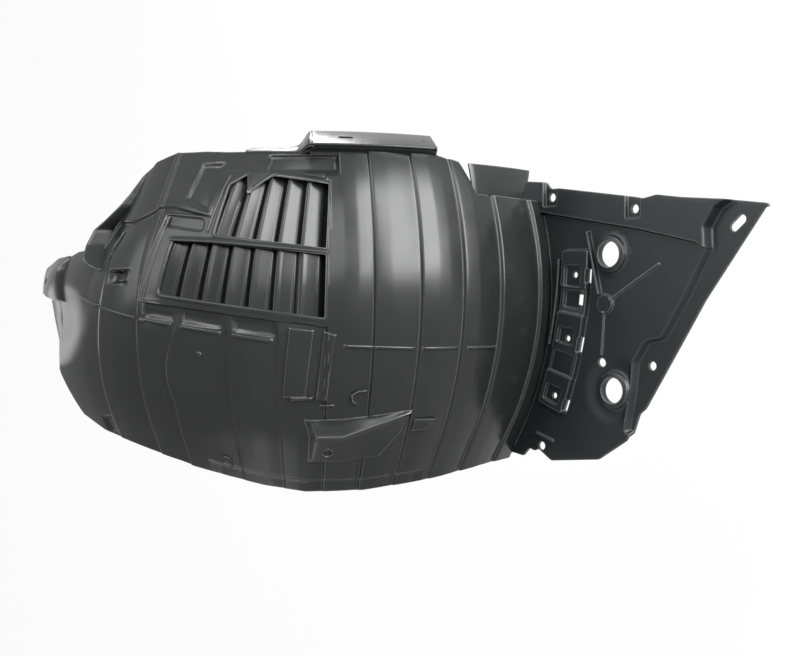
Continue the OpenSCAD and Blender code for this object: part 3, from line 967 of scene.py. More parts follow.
@dataclass(frozen=True)
class BladeRow:
    """One row of louvre blades between four corners given as angle and Y."""

    corners: tuple[Pair, Pair, Pair, Pair]
    count: int
    drop: float


@dataclass
class LouvrePanel:
    """Vent panel: a raised frame with two windows, their rims and side walls, and the sloping blades."""

    relief: ArchRelief
    lower: BladeRow = BladeRow(((23, 31), (52.3, 4), (52.6, 73), (24.8, 91)), 7, 4.5)
    upper: BladeRow = BladeRow(((33, 96), (52.6, 80), (53.4, 154.5), (35.6, 165)), 5, 8.0)
    upper_edge: tuple[Pair, ...] = (
        (33, 96), (52.6, 80), (53.3, 152), (43.1, 161.5), (41.8, 157), (38.4, 141), (37.9, 163),
        (34.6, 152.5))
    frame: tuple[Pair, ...] = (
        (18.4, 21), (28, 14), (40, 3), (53.7, -8), (54, 80), (54.3, 158), (43.5, 168), (37.2, 171),
        (33.6, 171), (31.9, 117), (27, 122), (21.4, 124), (19.6, 72))
    band: tuple[Pair, ...] = ((21.8, 108), (30.6, 99.5), (30.6, 114), (21.8, 120.5))
    bars: tuple[tuple[tuple[Pair, ...], float, float], ...] = (
        (((23.4, 93.5), (33, 89.5), (43, 83.2), (53, 76.3)), 7.0, 3.0),
        (((18.7, 22), (20, 72), (21.6, 121)), 2.6, 0.4),
        (((19.9, 23), (21.2, 72), (22.6, 119)), 2.4, 1.2),
        (((31.4, 97), (31.9, 112), (33.4, 150), (34.4, 164)), 4.0, 1.6))
    bar_sizes: tuple[Pair, ...] = ((0, 0.3), (0.04, 1), (0.7, 1), (1, 0.6))
    facet: tuple[Pair, ...] = (
        (-0.5, -1), (-0.45, 0.5), (-0.36, 0.85), (-0.22, 1), (0.0, 0.8), (0.34, 0.42), (0.44, 0.2),
        (0.5, -1))
    back: tuple[Pair, ...] = (
        (-0.5, -1), (-0.47, 0.1), (-0.35, 0.7), (-0.18, 0.95), (0, 1), (0.18, 0.95), (0.35, 0.7),
        (0.47, 0.1), (0.5, -1))
    edge_falls: tuple[Pair, ...] = ((0, 3.6), (0.6, 2.1), (1.2, 0.9), (1.9, 0.2), (2.7, 0))
    groove: tuple[Pair, ...] = ((2.7, 0), (3.5, -0.7), (4.4, -0.7), (5.2, 0.3), (6, 0.3), (7, 0))
    rim: tuple[Pair, ...] = (
        (0, 2.4), (0.3, 1.1), (1.0, 0.3), (2.0, 0.0), (3.1, 0.2), (4.1, 0.9), (4.8, 2.0))
    rim_foot: Pair = (5.2, 2.2)
    rim_low: float = -1.0
    rim_rise: float = 1.7
    rim_front: Pair = (51.6, 52.4)
    rim_front_fall: float = 1.3
    rim_top: Pair = (120, 140)
    rim_top_fall: float = 0.5
    bar_middle: tuple[float, float, float, float] = (24, 53, 93, 76)
    bar_reach: Pair = (10.0, 5.0)
    bar_sink: float = 2.0
    band_depth: float = 2.6
    band_slope: float = 4.0
    groove_fade: Pair = (22, 24)
    foot_sink: float = 0.4
    crest: Pair = (2.4, 0.1)
    nose: tuple[Pair, ...] = ((-1.5, -1.8), (-1.3, -0.8), (-0.6, 0.1), (0.5, 0.6), (1.8, 0.4), (3.4, -0.7))
    heel: tuple[Pair, ...] = ((-1.0, 0.5), (0.6, -0.2), (2.0, -1.4), (3.0, -3.0))
    sag: float = 0.3
    frame_height: float = 3.0
    depth: float = 17.0
    shell_gap: float = 2.5
    blade: float = 2.2
    lead: float = 0.4
    tail: float = 14.0
    flat_share: Pair = (0.6, 0.74)
    last_reach: float = 1.06
    reach: float = 0.97
    overlap: float = 0.02
    steps: int = 12

    def windows(self) -> list[Array]:
        """Plan outlines of the two windows, with rounded corners."""
        plan = self.relief.form.plan
        return [filleted(plan(self.lower.corners), [6, 2, 2, 5]),
                filleted(plan(self.upper_edge), [4, 2, 2, 1, 1, 1, 1, 3])]

    def room(self) -> list[Array]:
        """Plan outlines of the gap that the shell leaves under the frame."""
        return [beside(window, -self.shell_gap, closed=True) for window in self.windows()]

    def build(self) -> list[bpy.types.Object]:
        """Makes the frame, the rims and both rows of blades."""
        return [self.build_frame(), self.build_rims(), self.build_bars(), self.build_blades()]

    def build_frame(self) -> bpy.types.Object:
        """Makes the raised frame around the windows, with a rounded edge, a groove and the sunk band.

        Returns:
            The new piece.
        """
        form = self.relief.form
        outline = filleted(form.plan(self.frame), 5.0)
        band = Field(filleted(form.plan(self.band), [4, 6, 6, 4]), -self.band_depth, self.band_slope)
        offsets = [offset for offset, _ in self.edge_falls[1:] + self.groove[1:]]
        lines = [(beside(outline, offset, closed=True), True) for offset in offsets]
        lines += [(line, True) for line in band.lines(0.0)[:10]]
        sheet = PlanSheet(outline, self.windows(), lines, 5.0, lattice=True)

        def top(plan: Array) -> Array:
            """Height of the frame, whose groove is at its rear end.

            Args:
                plan: Plan points.

            Returns:
                Height at each point.
            """
            inside = depth_inside(plan, outline)
            rear = blend(plan[:, 0] / form.mm_per_degree, *self.groove_fade, 1, 0)
            edge = self.frame_height - table(inside, self.edge_falls)
            return edge + table(inside, self.groove) * rear + band.rise(plan)

        buffer = MeshBuffer()
        foot = -form.wall - self.foot_sink
        sheet.add_to(buffer, form.on_plan, top, lambda plan: np.full(len(plan), foot))
        return buffer.build("louvre_frame")

    def rim_heights(self, plan: Array, upper: bool) -> Array:
        """Height of the rim along a window, which is highest on the bar between the windows.

        Args:
            plan: Plan points.
            upper: Whether the window is the upper one.

        Returns:
            Height at each point.
        """
        form = self.relief.form
        theta, y = plan[:, 0] / form.mm_per_degree, plan[:, 1]
        reach, slope = self.bar_reach
        bar = soft_step(reach - np.abs(y - blend(theta, *self.bar_middle)), 0.0, slope)
        front = blend(theta, *self.rim_front, 0, 1)
        side = self.frame_height + self.rim_rise - self.rim_front_fall * front
        if upper:
            side = side - self.rim_top_fall * blend(y, *self.rim_top, 0, 1)
        return side - bar * (1.0 - front)

    def build_rims(self) -> bpy.types.Object:
        """Makes the rounded rim and the side walls of each window.

        Returns:
            The new piece.
        """
        form = self.relief.form
        out, back = self.rim_foot
        buffer = MeshBuffer()
        for upper, window in enumerate(self.windows()):
            line = densified(window, 4.0)
            top = self.rim_heights(line, bool(upper))
            section = [(0.0, -self.depth)] + [(across, top - fall) for across, fall in self.rim]
            section += [(out, self.rim_low), (back, self.rim_low), (back, -self.depth)]
            rings = [form.on_plan(beside(line, -across, closed=True), height) for across, height in section]
            buffer.loft(np.array(rings).transpose(1, 0, 2)[:, ::-1], closed=True)
        return buffer.build("louvre_rims")

    def build_bars(self) -> bpy.types.Object:
        """Makes the rounded bar between the windows and the two ridges along the frame's rear edge.

        Returns:
            The new piece.
        """
        form = self.relief.form
        buffer = MeshBuffer()
        for index, (line, width, height) in enumerate(self.bars):
            places = densified(form.plan(line), 2.5, closed=False)
            run = np.linspace(0, 1, len(places))
            size = table(run, self.bar_sizes)
            side = beside(places, 1.0) - places
            rings = []
            for across, share in self.back if index else self.facet:
                place = places + side * (across * width * size)[:, None]
                lift = height * share if share > 0 else -self.bar_sink
                rings.append(form.on_plan(place, self.frame_height + lift * size))
            buffer.loft(np.array(rings).transpose(1, 0, 2))
        return buffer.build("louvre_bars")

    def profile(self, pitch: float, flat: float, reach: float, drop: float) -> Array:
        """Section of a blade as distance from its rear edge and height.

        Args:
            pitch: Distance to the next blade.
            flat: Share of the pitch that the flat part takes.
            reach: Share of the pitch where the steep tail ends.
            drop: Fall of the flat part towards the front.

        Returns:
            Points around the section.
        """
        bend = flat * pitch
        (x, z), (heel_x, heel_z) = self.nose[-1], self.heel[-1]
        length, fall = bend - x, drop + z
        shares = [k / 6 for k in range(1, 6)]
        upper = list(self.nose)
        upper += [(x + length * s, z - fall * s - self.sag * math.sin(math.pi * s)) for s in shares]
        back, lift = self.crest
        upper.append((bend - back, back * fall / length - drop + lift))
        upper += [(bend + dx, dz - drop) for dx, dz in self.heel]
        start, top = bend + heel_x, heel_z - drop
        run, height = reach * pitch - start, self.tail + top
        upper += [(start + run * s, top - height * s) for s in (1 / 3, 2 / 3, 1)]
        lower = [(x - 0.5 * self.blade, z - self.blade) for x, z in reversed(upper)]
        return np.array(upper + lower)

    def build_blades(self) -> bpy.types.Object:
        """Makes both rows of blades, each a little longer than its window.

        Returns:
            The new piece.
        """
        form = self.relief.form
        buffer = MeshBuffer()
        for row in (self.lower, self.upper):
            corners = form.plan(row.corners)
            for index in range(row.count):
                share = index / (row.count - 1)
                flat = self.flat_share[0] + (self.flat_share[1] - self.flat_share[0]) * share
                reach = self.last_reach if index == row.count - 1 else self.reach
                rings = []
                for along in np.linspace(-self.overlap, 1 + self.overlap, self.steps + 1):
                    left = corners[0] * (1 - along) + corners[3] * along
                    right = corners[1] * (1 - along) + corners[2] * along
                    rear = left + (right - left) * index / row.count
                    pitch = (right - left) / row.count
                    section = self.profile(float(np.linalg.norm(pitch)), flat, reach, row.drop)
                    place = rear + section[:, :1] * pitch / np.linalg.norm(pitch)
                    rings.append(form.on_plan(place, section[:, 1] - self.lead))
                buffer.loft(np.array(rings)[:, ::-1])
        return buffer.build("louvre_blades")


@dataclass(frozen=True)
class BeadRun:
    """One length of a bead: the angles of its ends."""

    start: float
    end: float


@dataclass
class Beads:
    """Long seam bead that crosses the arch between the ribs, and the way to add shorter beads."""

    relief: ArchRelief
    line: tuple[Pair, ...] = (
        (2.6, 31), (9, 18), (17.5, 5), (26, -4), (34.8, -13), (43.3, -21), (55, -27), (69, -30), (90, -29))
    runs: tuple[BeadRun, ...] = (
        BeadRun(2.6, 8.9), BeadRun(9.3, 17.8), BeadRun(19.2, 25.4), BeadRun(27.2, 34.6), BeadRun(36.6, 43.6),
        BeadRun(55.6, 68.6), BeadRun(69.8, 77.2), BeadRun(79, 86))
    width: float = 4.0
    height: float = 2.2
    end_length: float = 3.0
    sink: float = 0.7
    crown: float = 0.8

    def add_bead(self, buffer: MeshBuffer, places: Array, width: float, height: float) -> None:
        """Adds one rounded bead along a line of plan points.

        Args:
            buffer: Mesh that takes the bead.
            places: Plan points of its middle line.
            width: Width of its foot.
            height: Height of its crown above the shell.
        """
        form = self.relief.form
        line = densified(places, 2.0, closed=False)
        run = np.concatenate([[0], np.cumsum(np.linalg.norm(np.diff(line, axis=0), axis=1))])
        ends = soft_step(np.minimum(run, run[-1] - run), -0.4, self.end_length)
        angles = np.linspace(0, math.pi, 9)
        across = np.concatenate([[-0.5], -0.5 * np.cos(angles), [0.5]]) * width
        crown = np.concatenate([[-self.sink], np.sin(angles) ** self.crown, [-self.sink]])
        rings = []
        for distance, share in zip(across, crown):
            place = beside(line, float(distance))
            theta = place[:, 0] / form.mm_per_degree
            ground = self.relief.height(theta, place[:, 1])
            lift = share * height * (ends if share > 0 else 1.0)
            rings.append(form.at(theta, place[:, 1], ground + lift))
        buffer.loft(np.array(rings).transpose(1, 0, 2))

    def build(self) -> list[bpy.types.Object]:
        """Makes every length of the seam bead.

        Returns:
            A list with the new piece.
        """
        form = self.relief.form
        buffer = MeshBuffer()
        for run in self.runs:
            angles = np.linspace(run.start, run.end, 12)
            places = np.stack([angles * form.mm_per_degree, table(angles, self.line)], axis=1)
            self.add_bead(buffer, places, self.width, self.height)
        return [buffer.build("seam_bead")]


@dataclass
class SmallMarks:
    """Small raised marks of the arch: slabs, ledges, short ridges, a hook and two bumps."""

    beads: Beads
    slabs: tuple[tuple[tuple[Pair, Pair, Pair, Pair], float], ...] = (
        (((44.9, -84), (49.2, -84), (50.7, -9), (46.3, -6)), 3.0),
        (((50.8, -88), (52.9, -88), (54.4, -14), (52.2, -10)), 3.0),
        (((69.9, -124), (74.2, -122), (75, -110), (70.2, -110)), 3.0))
    lines: tuple[tuple[tuple[Pair, ...], float, float], ...] = (
        (((46.2, -85), (50.6, -85)), 5.0, 4.4),
        (((51.7, -93), (54.3, -93)), 3.0, 2.4),
        (((10.6, 60.5), (15.9, 60.5)), 3.6, 2.4),
        (((8.6, 71), (11.0, 106)), 4.0, 2.2),
        (((58.6, -93), (57.6, -88), (57.4, -82), (58.4, -78), (60.4, -77)), 3.0, 3.4))
    bumps: tuple[tuple[Pair, float, float], ...] = (((32.8, -159), 8.0, 3.0), ((30.6, -36), 3.2, 1.6))
    slab_sides: tuple[Pair, ...] = (
        (0, -0.3), (0.04, 0.7), (0.1, 0.95), (0.18, 1), (0.4, 1), (0.6, 1), (0.82, 1), (0.9, 0.95),
        (0.96, 0.7), (1, -0.3))
    slab_ends: tuple[Pair, ...] = ((0, -0.3), (0.008, 0.7), (0.02, 1), (0.98, 1), (0.992, 0.7), (1, -0.3))
    slab_sink: float = 1.2
    bump_side: tuple[Pair, ...] = ((1, -0.6), (1, 0.1), (0.9, 0.6), (0.72, 0.9), (0.45, 1), (0.12, 0.92))

    def add_slab(self, buffer: MeshBuffer, corners: Sequence[Pair], height: float) -> None:
        """Adds a low slab with rounded edges that follows the arch.

        Args:
            buffer: Mesh that takes the slab.
            corners: Its corners as angle and Y, rear outboard first.
            height: Rise above the arch.
        """
        relief = self.beads.relief
        across, lift = np.array(self.slab_sides).T
        along = np.concatenate([[0, 0.008, 0.02], np.linspace(0.05, 0.95, 18), [0.98, 0.992, 1]])
        rise = np.minimum(lift[:, None], table(along, self.slab_ends))
        theta, y = patch(corners, across, along)
        ground = relief.height(theta, y)
        buffer.skin(relief.form.at(theta, y, ground + rise * height),
                    relief.form.at(theta, y, ground - self.slab_sink))

    def add_bump(self, buffer: MeshBuffer, centre: Pair, radius: float, height: float) -> None:
        """Adds a round bump.

        Args:
            buffer: Mesh that takes the bump.
            centre: Its place as angle and Y.
            radius: Radius of its foot.
            height: Rise above the arch.
        """
        relief = self.beads.relief
        rings = []
        for share, lift in self.bump_side:
            ring = np.array([centre]) + stadium(radius * share, sides=24) / (relief.form.mm_per_degree, 1)
            ground = relief.height(ring[:, 0], ring[:, 1])
            rings.append(relief.form.at(ring[:, 0], ring[:, 1], ground + lift * height))
        buffer.loft(np.array(rings)[:, ::-1])

    def build(self) -> list[bpy.types.Object]:
        """Makes all the marks.

        Returns:
            A list with the new piece.
        """
        form = self.beads.relief.form
        buffer = MeshBuffer()
        for corners, height in self.slabs:
            self.add_slab(buffer, corners, height)
        for line, width, height in self.lines:
            self.beads.add_bead(buffer, form.plan(line), width, height)
        for centre, radius, height in self.bumps:
            self.add_bump(buffer, centre, radius, height)
        return [buffer.build("small_marks")]


@dataclass
class ScrewBoss:
    """Faceted boss at the outboard edge, with a raised crest and a screw hole."""

    relief: ArchRelief
    places: tuple[tuple[Place, ...], ...] = (
        ((49.4, -157, -0.5), (50.2, -158, 3), (56.4, -158, 3), (64.3, -153, 1), (68.2, -124, 0)),
        ((49.6, -132, -0.5), (51.0, -131, 10.5), (56.0, -131, 10.5), (62.2, -118, 8.5), (68.8, -105, 3.8)),
        ((49.7, -130, -0.5), (51.2, -129, 13), (56.2, -129, 13), (62.4, -116, 10.5), (69.2, -103, 5.5)),
        ((49.6, -128, -0.5), (51.0, -127, 11.5), (56.2, -127, 11.5), (62.4, -114, 9.0), (69.4, -101, 4.0)),
        ((48.8, -108, -0.5), (49.8, -109, 1), (56.6, -108, 1), (62.8, -104, 1), (69.6, -99, 0.5)))
    cells: int = 6
    cover: float = 0.3
    sink: float = 1.5
    rounding: float = 0.8
    hole: Place = (53.4, -144, 2.0)
    hole_radius: float = 5.0
    hole_tilt: float = 65.0
    hole_depth: float = 26.0

    def build(self) -> list[bpy.types.Object]:
        """Makes the boss and drills its hole.

        Returns:
            A list with the new piece.
        """
        form = self.relief.form
        rows = refined(np.array(self.places, float).transpose(1, 0, 2), self.cells)
        theta, y, height = np.moveaxis(refined(rows, self.cells, axis=1), -1, 0)
        ground = self.relief.height(theta, y)
        outer = form.at(theta, y, np.maximum(height, ground + self.cover))
        boss = skinned("screw_boss", outer, form.at(theta, y, ground - self.sink), self.rounding, 3)
        angle, tilt = math.radians(self.hole[0]), math.radians(self.hole_tilt)
        out = Vector((math.sin(angle), 0, math.cos(angle)))
        axis = (out * math.cos(tilt) - Vector((0, 1, 0)) * math.sin(tilt)).normalized()
        side = axis.orthogonal().normalized()
        axes = axes_at(side, axis.cross(side), axis, form.spot(*self.hole))
        return [drilled(boss, [prism("hole", stadium(self.hole_radius), axes, self.hole_depth)])]


@dataclass
class RearFlange:
    """Tab and strip at the rear edge, and the upright flange on the rear inboard edge."""

    relief: ArchRelief
    tab_rows: tuple[tuple[Place, Place, Place], ...] = (
        ((-12, 35, 4), (-15.2, 58, 4), (-16, 66, 4)),
        ((-9.6, 31, 5.5), (-12, 62, 5.5), (-11.8, 78, 3)),
        ((-4.7, 25, 7.7), (-7.6, 64, 8), (-7, 80, 1.5)),
        ((-4.1, 25, -1.5), (-6.9, 63, -1.5), (-6.4, 79, -1.5)))
    strip_rows: tuple[tuple[Pair, ...], ...] = (
        ((-4.3, -57), (-4.6, -21), (-7.2, 5), (-10, 34)), ((-3.1, -57), (-2.2, -20), (-2.6, 4), (-3.8, 28)))
    strip_height: float = -1.2
    fin: tuple[tuple[float, float, float], ...] = (
        (60, 6.8, 3), (66, 6.5, 14), (74, 5.8, 18), (90, 4.8, 18), (108, 4.9, 18), (119, 7, 18),
        (135, 9.5, 16), (150, 10.4, 13), (172, 10.6, 8), (189, 12.8, 3))
    fin_lean: float = 2.1
    fin_foot: float = -1.5
    rounding: float = 0.8
    hole: Place = (-12.4, 50, 4.0)
    hole_radius: float = 4.0
    hole_depth: float = 12.0

    def build_tab(self) -> bpy.types.Object:
        """Makes the tab, the step wall in front of it and its outboard side, and drills its hole.

        Returns:
            The new piece.
        """
        form = self.relief.form
        knots = np.array(self.tab_rows, float)
        shares = np.concatenate([[0], np.linspace(0, 1, 12)])
        rows = np.stack([
            [np.interp(shares, (0, 0.6, 1), row[:, axis]) for axis in range(3)] for row in knots])
        theta, y, height = rows[:, 0], rows[:, 1], rows[:, 2]
        height[:, 0] = self.tab_rows[3][0][2]
        back = np.array([0, 0, 1, 1])[:, None] * form.wall / form.mm_per_degree
        low = np.outer([1, 1, 1, 0], [0] + [1] * (len(shares) - 1)) * form.wall
        inward = np.where(np.arange(len(shares)) < 2, form.wall, 0.0)
        tab = skinned("rear_tab", form.at(theta, y, height), form.at(theta - back, y + inward, height - low),
                      self.rounding)
        axes = Matrix.Rotation(math.radians(self.hole[0]), 4, "Y")
        axes.translation = form.spot(*self.hole)
        return drilled(tab, [prism("hole", stadium(self.hole_radius), axes, self.hole_depth)])

    def build_strip(self) -> bpy.types.Object:
        """Makes the narrow strip beside the tab."""
        theta, y = np.moveaxis(np.array(self.strip_rows, float), -1, 0)
        return skinned("rear_strip", *self.relief.form.sheet(theta, y, self.strip_height), self.rounding)

    def build_fin(self) -> bpy.types.Object:
        """Makes the upright flange, which leans back as it rises.

        Returns:
            The new piece.
        """
        form = self.relief.form
        knots = np.array(self.fin, float)
        y = np.linspace(knots[0, 0], knots[-1, 0], 49)
        foot, tall = (np.interp(y, knots[:, 0], knots[:, column]) for column in (1, 2))
        share = np.array([0.0, 0.5, 0.86, 1.0])[:, None]
        theta = foot - self.fin_lean * share * tall / knots[:, 2].max()
        height = self.fin_foot + (tall - self.fin_foot) * share
        faces = [form.at(theta + shift, y, height) for shift in (0.0, form.wall / form.mm_per_degree)]
        return skinned("rear_upright", *faces, 1.0)

    def build(self) -> list[bpy.types.Object]:
        """Makes the rear pieces."""
        return [self.build_tab(), self.build_strip(), self.build_fin()]


@dataclass
class UpperBracket:
    """Folded bracket on the inboard edge, with its slot and locating hole, and the low wing beside it."""

    form: ArchForm
    start: float = 50.0
    end: float = 74.6
    end_skew: float = 2.8
    wing_start: float = 36.5
    wing_width: float = 13.0
    wing_edge: tuple[Pair, ...] = ((33, 193), (46, 190), (60, 189.5))
    wing_swell: Pair = (44.5, 50.0)
    wing_rise: float = 2.6
    wing_foot: Pair = (1.0, -3.0)
    wing_low: Pair = (1.5, 0.5)
    wing_foot_wall: float = 2.5
    y: float = 189.0
    edge_at: float = 60.0
    ring_step: float = 1.2
    rise: float = 12.0
    overhang: float = 8.0
    depth: float = 48.0
    lean: float = 25.0
    slot_radius: float = 4.0
    slot_at: float = 57.0
    slot_length: float = 10.0
    hole_at: float = 73.4

    @property
    def edge(self) -> float:
        """Radius of the arch's edge under the bracket."""
        return float(self.form.base(np.array(self.edge_at), np.array(self.y)))

    @property
    def ridge(self) -> Array:
        """Radius and Y of the bracket's outer ridge."""
        return np.array([self.edge + self.rise, self.y + self.overhang])

    @property
    def down(self) -> Array:
        """Direction down the bracket's face, as radius and Y."""
        return np.array([-math.cos(math.radians(self.lean)), math.sin(math.radians(self.lean))])

    @property
    def out(self) -> Array:
        """Direction away from the bracket's face, as radius and Y."""
        return np.array([math.sin(math.radians(self.lean)), math.cos(math.radians(self.lean))])

    def sweep(self, profile: Array) -> Array:
        """Rings of a profile of radius and Y along the bracket, with its end square to the bracket.

        Args:
            profile: Points as radius and Y.

        Returns:
            Rings of points in metres.
        """
        radius, y = profile.T
        low, high = radius.min(), radius.max()
        length = self.end - self.start + self.end_skew * (high - radius) / (high - low)
        count = max(3, round((self.end - self.start) / self.ring_step))
        return around_axle(self.start + length * np.linspace(0, 1, count)[:, None], radius, y)

    def build_wing(self) -> bpy.types.Object:
        """Makes the low wing, which rises in a curve to the bracket.

        Returns:
            The new piece.
        """
        theta = np.linspace(self.wing_start, self.start + 0.6, 30)
        y = table(theta, self.wing_edge)
        edge = self.form.base(theta, y)
        rise = soft_step(theta, self.start - self.wing_rise, self.start)[:, None]
        length = self.wing_width + (self.depth - self.wing_width) * blend(theta, *self.wing_swell, 0, 1) ** 2
        length = length * soft_step(theta, self.wing_start - 2, self.wing_start + 2)
        low = np.stack([edge, y], axis=1) + self.wing_low
        near = low + (self.ridge - low) * rise
        far = near + length[:, None] * self.down
        foot = np.stack([edge, y], axis=1) + self.wing_foot
        face = self.out * self.form.wall
        upper = np.stack([foot, near, (near + far) / 2, far], axis=1)
        under = foot - (self.wing_foot_wall, 0)
        lower = np.stack([under, near - face, (near + far) / 2 - face, far - face], axis=1)
        sides = [around_axle(theta[:, None], side[..., 0], side[..., 1]) for side in (upper, lower)]
        return skinned("bracket_wing", *sides, 0.7)

    def on_face(self, theta: float) -> Matrix:
        """Axes at the middle of the bracket's face, with Z away from it.

        Args:
            theta: Angle from straight up.

        Returns:
            The axes.
        """
        angle, lean = math.radians(theta), math.radians(self.lean)
        radius, y = self.ridge + self.depth / 2 * self.down
        forward = Vector((math.cos(angle), 0, -math.sin(angle)))
        out = Vector((math.sin(lean) * math.sin(angle), math.cos(lean), math.sin(lean) * math.cos(angle)))
        return axes_at(forward, out.cross(forward), out,
                       Vector((radius * math.sin(angle), y, radius * math.cos(angle))) * MM)

    def build_bracket(self) -> bpy.types.Object:
        """Makes the bracket and cuts its slot and hole.

        Returns:
            The new piece.
        """
        wall, edge, y, ridge = self.form.wall, self.edge, self.y, self.ridge
        end = ridge + self.depth * self.down
        face = wall * self.out
        profile = filleted([
            (edge - wall, y - 4), (edge, y - 4), (edge + 1, y), tuple(ridge), tuple(end), tuple(end - face),
            tuple(ridge - face - (wall, 0)), (edge - wall, y)], [0.5, 1, 2, 3, 1, 1, 2, 1], 4)
        buffer = MeshBuffer()
        buffer.loft(self.sweep(profile))
        bracket = rounded(buffer.build("upper_bracket"), 0.8)
        slot = stadium(self.slot_radius, self.slot_length)
        hole = stadium(self.slot_radius - 1)
        return drilled(bracket, [
            prism("slot", slot, self.on_face(self.slot_at), 12),
            prism("hole", hole, self.on_face(self.hole_at), 12)])

    def build(self) -> list[bpy.types.Object]:
        """Makes the bracket and its wing."""
        return [self.build_bracket(), self.build_wing()]


@dataclass
class CornerTab:
    """Tab that stands on the arch's inboard front edge."""

    form: ArchForm
    corners: tuple[Pair, Pair, Pair, Pair] = ((82.0, 143), (95.6, 140), (98.4, 182), (81, 182))
    heights: Pair = (-1.0, 13.0)

    def build(self) -> list[bpy.types.Object]:
        """Makes the tab.

        Returns:
            A list with the new piece.
        """
        low, high = self.heights
        v = np.linspace(0, 1, 7)
        theta, y = patch(self.corners, np.linspace(0, 1, 13), v)
        height = np.broadcast_to(low + (high - low) * v, theta.shape)
        return [skinned("corner_tab", *self.form.sheet(theta, y, height), 1.0)]


@dataclass(frozen=True)
class PlateSlopes:
    """Widths of the sloping walls around the plate's fields."""

    flange: float = 2.6
    channel: float = 6.0
    strip: float = 1.8
    dip: float = 2.2
    recess: float = 1.6
    pad: float = 1.6
    rib: float = 1.2
    hub: float = 1.4
    foot: float = 1.0


